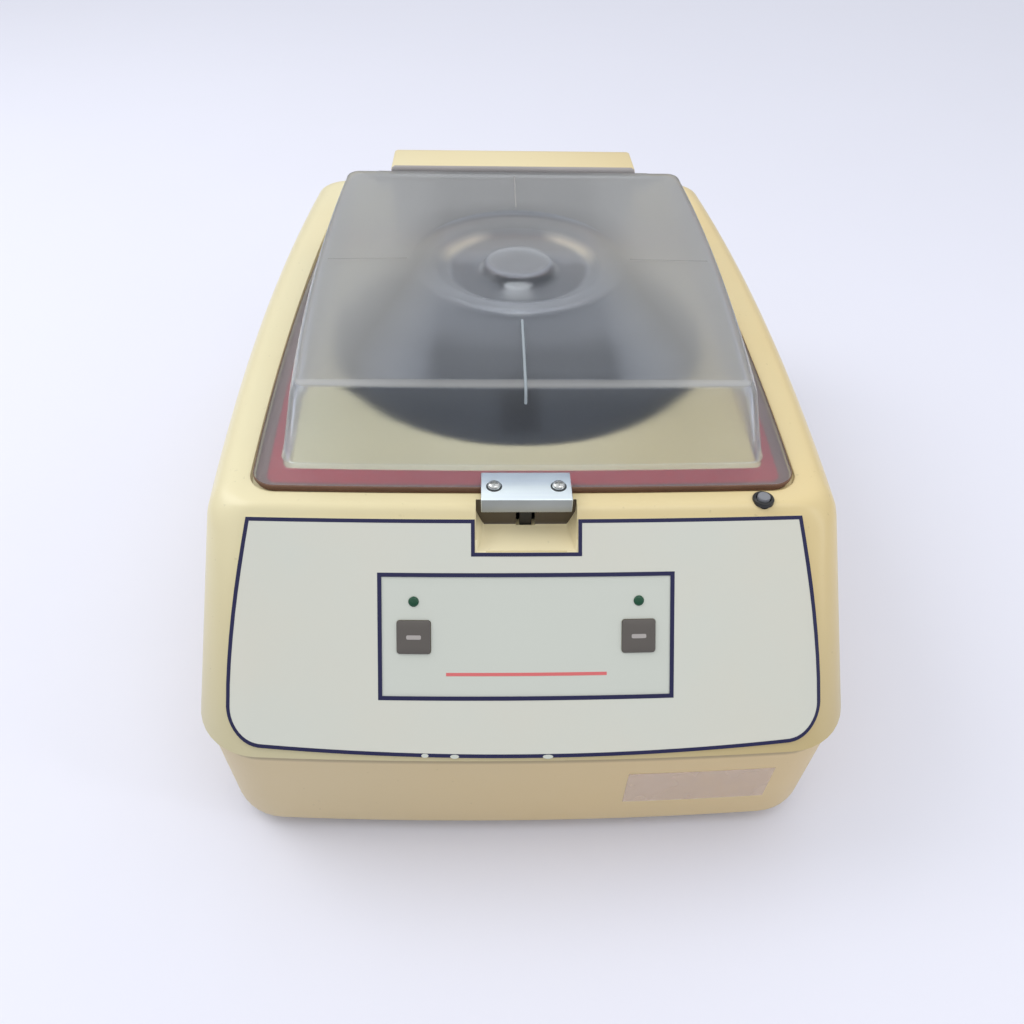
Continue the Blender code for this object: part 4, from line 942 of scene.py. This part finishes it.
def make_lid():
    """Smoked lid: flange, dome, rounded ridge, dished circle and hinge lugs."""
    edge = [(3.0, 0.0), (2.1, 0.12), (1.3, 0.45), (0.7, 1.0), (0.28, 1.8)]
    rings = list(reversed(top_rings(top_ring(*edge[0]), 0.0)))
    rings += [top_ring(*step) for step in edge[1:]]
    rings += [dome_ring(t) for t in (0.88, 0.6, 0.3, 0.03)]
    foot = [p[:2] for p in dome_ring(0.0)]
    rings.append([(x * 1.004, y * 1.004, FLANGE_TOP) for x, y in foot])
    rings += [lid_outline(FLANGE_TOP, 0.3, 0.3), lid_outline(FLANGE_TOP - 0.3),
              lid_outline(FLANGE_BOTTOM + 0.3), lid_outline(FLANGE_BOTTOM, 0.3, 0.3)]
    rings += [dome_ring(t, LID_WALL) for t in (0.0, 0.3, 0.6, 0.88)]
    inner = [(LID_WALL + 0.5, LID_WALL + 1.6), (LID_WALL + 1.4, LID_WALL + 0.5)]
    rings += [top_ring(*step) for step in inner]
    rings += top_rings(top_ring(LID_WALL + 3.0, LID_WALL), LID_WALL)
    shell = skin(rings)
    near, radius = HUMP_HALF + ARM_GAP, ARM_RADIUS
    far = near + ARM_WIDTH
    arm = [(HINGE_Y + radius * cos(a), HINGE_Z + radius * sin(a))
           for a in (-pi / 2 + pi * i / 16 for i in range(17))]
    arm += [(ARM_FRONT, HINGE_Z + radius), (ARM_FRONT, HINGE_Z - radius)]
    bore = HINGE_PIN + 0.35
    for side in (-1, 1):
        low, high = sorted((side * near, side * far))
        shell = combine(shell, prism_x(arm, low, high), "UNION")
        hole = lying([(bore, low - 1.0), (bore, high + 1.0)], (0.0, HINGE_Y, HINGE_Z), "X")
        shell = combine(shell, hole)
    for face in shell.faces:
        middle = face.calc_center_median()
        # the flange's outer edges get the brown as painted shadow of the gap round the flange
        rim = FLANGE_BOTTOM < middle.z < FLANGE_TOP and abs(face.normal.z) < 0.9
        face.material_index = 1 if rim and (abs(middle.x) > 93.0 or abs(middle.y) > 105.0) else 0
    piece("lid_dome", shell, [SMOKE, LIP_AND_GAP_SHADE], "lid", ["lid_shell"], crisp=40.0)
    for side, word in SIDES:
        start, end = side * (HUMP_HALF - 12.0), side * (far - 0.4)
        tip = side * 0.4
        rod = [(HINGE_PIN, start), (HINGE_PIN, end - tip), (HINGE_PIN - 0.4, end)]
        piece(f"hinge_rod_{word}", lying(rod, (0.0, HINGE_Y, HINGE_Z), "X"), STEEL,
              replaces=[f"hinge_pin_{word}"])
    make_ribs()


def lid_surface(x, y):
    """Height of the lid's top between the circle and the ridge."""
    radius = sqrt(x * x + y * y)
    reach = RIDGE_HALF + RIDGE_BULGE if abs(x) > abs(y) else (-RIDGE_FRONT if y < 0 else RIDGE_REAR)
    t = min(1.0, max(0.0, (radius - CIRCLE_RADIUS) / (reach - 3.4 - CIRCLE_RADIUS)))
    return ridge_plane(y) + CROWN * (1 - t)


def make_ribs():
    """Four fine ribs from the circle to the ridge; the front one runs over it and is painted pale
    as its highlight.
    """
    lines = []
    for dx, dy, reach in ((0, -1, -RIDGE_FRONT - 3.6), (-1, 0, RIDGE_HALF - 2.0),
                          (1, 0, RIDGE_HALF - 2.0), (0, 1, RIDGE_REAR - 6.0)):
        line = []
        for i in range(9):
            d = blend(CIRCLE_RADIUS + 1.0, reach, i / 8)
            line.append(Vector((dx * d, dy * d, lid_surface(dx * d, dy * d) + 0.04)))
        lines.append((line, Vector((-dy, dx, 0.0))))
    front = lines[0][0]
    for y, drop in ((-89.6, 0.35), (-90.9, 1.3), (-92.0, 2.9), (-92.9, 5.2)):
        front.append(Vector((0.0, y - 0.25, ridge_plane(y) - drop + 0.15)))
    for index, (line, across) in enumerate(lines):
        rings = []
        tall, half = (0.04, 0.3) if index else (0.4, 0.55)
        for before, here, after in zip(line[:1] + line[:-1], line, line[1:] + line[-1:]):
            up = across.cross(after - before).normalized()
            up = up if up.z > 0 or up.y < 0 else -up
            ring = []
            for i in range(7):
                a = pi * i / 6
                ring.append(here + across * half * cos(a) + up * tall * sin(a))
            rings.append(ring)
        piece(f"lid_rib_{index + 1}", skin(rings), FAINT if index else PALE, "lid")


def seal(outer, inner):
    """A closed band between two outlines, in the gap under the flange."""
    low, high = WELL_Z + 0.3, FLANGE_BOTTOM - 0.3
    rings = [lid_outline(low, *outer), lid_outline(high, *outer), lid_outline(high, *inner),
             lid_outline(low, *inner)]
    return skin(rings, closed=True)


def make_gasket():
    """Red seal under the flange, with a brown outer lip."""
    split = (3.2, 5.2)
    near = [reach - 0.1 for reach in split]
    piece("seal_ring", seal(split, (11.1, 9.4)), RED, replaces=["lid_gasket"])
    piece("seal_lip", seal((0.8, 0.8), near), LIP_AND_GAP_SHADE)


def make_latch():
    """Aluminium block on the lid's front edge, its screws and the tongue."""
    top, under, low = LATCH_TOP, FLANGE_TOP + 0.1, 128.7
    leg = LATCH_FRONT + 1.9
    profile = [(LATCH_FRONT, low), (leg, low), (leg, under), (LATCH_REAR, under),
               (LATCH_REAR, top), (LATCH_FRONT, top)]
    block = prism_x(profile, -LATCH_HALF, LATCH_HALF, 0.32)
    # the front face gets the darker aluminium, painted shade
    for face in block.faces:
        face.material_index = 1 if abs(face.calc_center_median().y - LATCH_FRONT) < 0.05 else 0
    piece("latch_plate", block, [ALUMINIUM, LATCH_FRONT_SHADE], "lid", ["latch_block"])
    for side, word in SIDES:
        place = (side * LATCH_SCREW_X, LATCH_SCREW_Y)
        # a thin dark disc round the head: painted shade
        shade_disc = turned([(2.85, top - 0.02), (2.85, top + 0.05), (2.2, top + 0.06)], place, 32)
        piece(f"latch_screw_seat_{word}", shade_disc, IRON, "lid")
        head = turned([(2.3, top + 0.06), (2.3, top + 0.7), (2.1, top + 1.15), (1.6, top + 1.5),
                       (0.8, top + 1.62)], place, 32)
        for wide, deep in ((1.35, 0.32), (0.32, 1.35)):
            cut = box((place[0] - wide, place[1] - deep, top + 0.8),
                      (place[0] + wide, place[1] + deep, top + 3.0))
            head = combine(head, cut)
        piece(f"latch_screw_head_{word}", head, STEEL, "lid", [f"latch_screw_{word}"])
    hook = [(-116.1, 132.2), (-116.1, 120.6), (-112.9, 120.6), (-112.9, 119.2), (-114.5, 118.0),
            (-118.2, 118.0), (-118.2, 132.2)]
    piece("tongue", prism_x(hook, -2.2, 2.2, 0.25, 2), BLACK, "lid", ["latch_tongue"])


def make_button():
    place = (BUTTON_X, BUTTON_Y)
    ring = [(2.55, 114.0), (2.95, 114.0), (2.95, DECK_Z - 0.6), (3.85, DECK_Z - 0.6),
            (3.85, DECK_Z + 0.6), (3.7, DECK_Z + 0.95), (3.3, DECK_Z + 1.2), (2.8, DECK_Z + 1.15),
            (2.55, DECK_Z + 0.9)]
    piece("button_ring", turned(ring, place, closed=True), BLACK,
          replaces=["button_bezel"])
    cap = [(2.3, 124.6), (2.3, 131.5), (2.15, 131.9), (1.7, 132.1), (0.7, 132.15)]
    piece("button_cap", turned(cap, place), GREY, "release_button", ["release_button"])


# ---- rotor and its chamber
def make_chamber():
    outer, wall = BOWL_HOLE - 0.3, 2.0
    floor, rim = BOWL_FLOOR, WELL_Z - 0.3
    inner = outer - wall
    profile = [(9.0, floor), (72.0, floor), (80.5, floor + 3.5), (outer, floor + 12.0),
               (outer, rim - 0.4), (outer - 0.4, rim), (inner + 0.5, rim), (inner, rim - 0.5),
               (inner, floor + 12.5)]
    for i in range(1, 7):
        a = pi / 2 * i / 7
        profile.append((inner - 10.0 * (1 - cos(a)), floor + 12.5 - 10.3 * sin(a)))
    profile += [(71.0, floor + 2.2), (11.5, floor + 2.2), (11.5, floor + 8.0), (9.0, floor + 8.0)]
    bowl = turned(profile, segments=128, closed=True)
    piece("chamber", bowl, DARK, replaces=["rotor_bowl"])


def make_rotor():
    """Rotor with four tube channels, a stepped cone and its bright knob."""
    top = ROTOR_TOP
    profile = [(4.3, ROTOR_BOTTOM), (68.5, ROTOR_BOTTOM), (ROTOR_RADIUS - 0.4, ROTOR_BOTTOM + 5.6),
               (ROTOR_RADIUS, ROTOR_BOTTOM + 6.6), (ROTOR_RADIUS, top - 3.2), (75.6, top - 1.6),
               (74.6, top - 0.5), (73.2, top), (27.5, top), (25.4, top + 0.7), (16.4, top + 11.4),
               (15.2, top + 12.6), (11.9, top + 16.6), (11.2, top + 17.0), (4.3, top + 17.0)]
    rotor = turned(profile, segments=96, closed=True)
    low, half, near, far = 103.5, 8.2, 30.0, 69.0
    for quarter in range(4):
        cut = box((near, -half, low), (far, half, DECK_Z + 8.0), 2.2, 4)
        bmesh.ops.rotate(cut, cent=(0, 0, 0), matrix=Matrix.Rotation(quarter * pi / 2, 3, "Z"),
                         verts=cut.verts)
        rotor = combine(rotor, cut)
    piece("rotor_body", rotor, MATT, "rotor", ["rotor"])
    base = top + 17.3
    knob = [(6.0, base), (6.5, base + 0.3), (6.7, base + 0.8), (6.7, 148.6), (6.4, 149.4),
            (5.8, 149.85), (5.0, 150.0), (1.6, 150.0), (1.3, 149.5), (0.4, 149.3)]
    piece("spindle_knob", turned(knob, segments=64), SATIN, "rotor", ["rotor_knob"])


# ---- rear panel
def make_rear_details():
    """The rear panel's screws and the power inlet's blades."""
    face, row = REAR_PANEL_Y, REAR_ROW_Z
    for index, x in enumerate((-50.0, -14.0)):
        head = lying([(2.6, 0.05), (2.6, 0.7), (2.0, 1.3), (0.8, 1.5)], (x, face, row))
        slot_cut = box((x - 2.0, face + 0.9, row - 0.3), (x + 2.0, face + 3.0, row + 0.3))
        head = combine(head, slot_cut)
        piece(f"rear_panel_screw_{index + 1}", head, STEEL)
    blades = ((-7.0, -2.5), (7.0, -2.5), (0.0, 3.5))
    for index, (a, b) in enumerate(blades):
        x, z = INLET_X + a, row + b
        blade = box((x - 1.1, face - 14.9, z - 2.1), (x + 1.1, face - 2.8, z + 2.1), 0.4)
        piece(f"inlet_blade_{index + 1}", blade, BRASS)


# ---- stage, camera
SKY_LEVEL = 0.93
SKY_LEAN = (-0.09, 0.14, 0.0)             # how the light grows along each axis
SKY_LOW, SKY_HIGH = (0.13, 0.13, 0.14), (0.96, 0.975, 1.0)
LAMP_AIM = Vector((0.0, 0.0, 0.08))
LAMPS = [("window", (-0.95, 0.25, 1.1), 0.8, 0.8, 5.5),          # place, size and watts
         ("ceiling", (0.35, -0.45, 1.35), 0.7, 0.7, 2.2),
         ("strip", (1.1, -0.55, 0.55), 0.12, 0.9, 1.5)]
CAMERA_PLACE, CAMERA_LENS = (-0.01389, -0.34245, 0.3306), 29.85
CAMERA_TURN = [radians(angle) for angle in (2.283, 42.579, 1.423)]     # yaw, pitch, roll


def make_stage():
    """A pale floor under a soft sky and three lamps."""
    bm = bmesh.new()
    bmesh.ops.create_grid(bm, x_segments=1, y_segments=1, size=4.0)
    mesh = to_mesh(bm, "floor")
    floor = add_object("floor", mesh)
    mesh.materials.append(surface("pale_floor", (229, 230, 242), 0.7, 0.004, 0.0, patch=3.0))

    make_sky()
    for name, place, wide, tall, power in LAMPS:
        light = bpy.data.lights.new(name, "AREA")
        light.shape = "RECTANGLE"
        light.size, light.size_y = wide, tall
        light.energy = power
        lamp = add_object(name, light)
        lamp.location = place
        lamp.rotation_euler = (LAMP_AIM - Vector(place)).to_track_quat("-Z", "Y").to_euler()
    bpy.context.scene.view_settings.view_transform = "Standard"


def make_sky():
    """A pale room: dim near the horizon, brightest high up and behind."""
    world = bpy.data.worlds.new("room")
    bpy.context.scene.world = world
    world.use_nodes = True
    tree = world.node_tree
    back = tree.nodes["Background"]
    height = coordinates(tree, "Generated")["Z"]
    tree.links.new(ramp(tree, height, SKY_LOW, SKY_HIGH, 0.02, 0.48), back.inputs["Color"])
    lean = add_node(tree, "VectorMath", operation="DOT_PRODUCT")
    lean.inputs[1].default_value = SKY_LEAN
    tree.links.new(add_node(tree, "TexCoord").outputs["Generated"], lean.inputs[0])
    strength = math_node(tree, "ADD", lean.outputs["Value"], SKY_LEVEL)
    tree.links.new(strength, back.inputs["Strength"])


def make_camera():
    """The camera that looks down on the sloped front and the lid."""
    yaw, pitch, roll = CAMERA_TURN
    camera = bpy.data.cameras.new("camera")
    camera.sensor_width = 36.0
    camera.lens = CAMERA_LENS
    camera.clip_start = 0.01
    obj = add_object("camera", camera)
    turn = (Matrix.Rotation(-yaw, 4, "Z") @ Matrix.Rotation(pi / 2 - pitch, 4, "X")
            @ Matrix.Rotation(roll, 4, "Z"))
    obj.matrix_world = Matrix.Translation(CAMERA_PLACE) @ turn
    bpy.context.scene.camera = obj


finish_cad_nodes()
make_camera()
make_stage()
make_housing()
make_base()
make_feet()
make_front_panel()
make_tape()
make_lid()
make_gasket()
make_latch()
make_button()
make_chamber()
make_rotor()
make_rear_details()
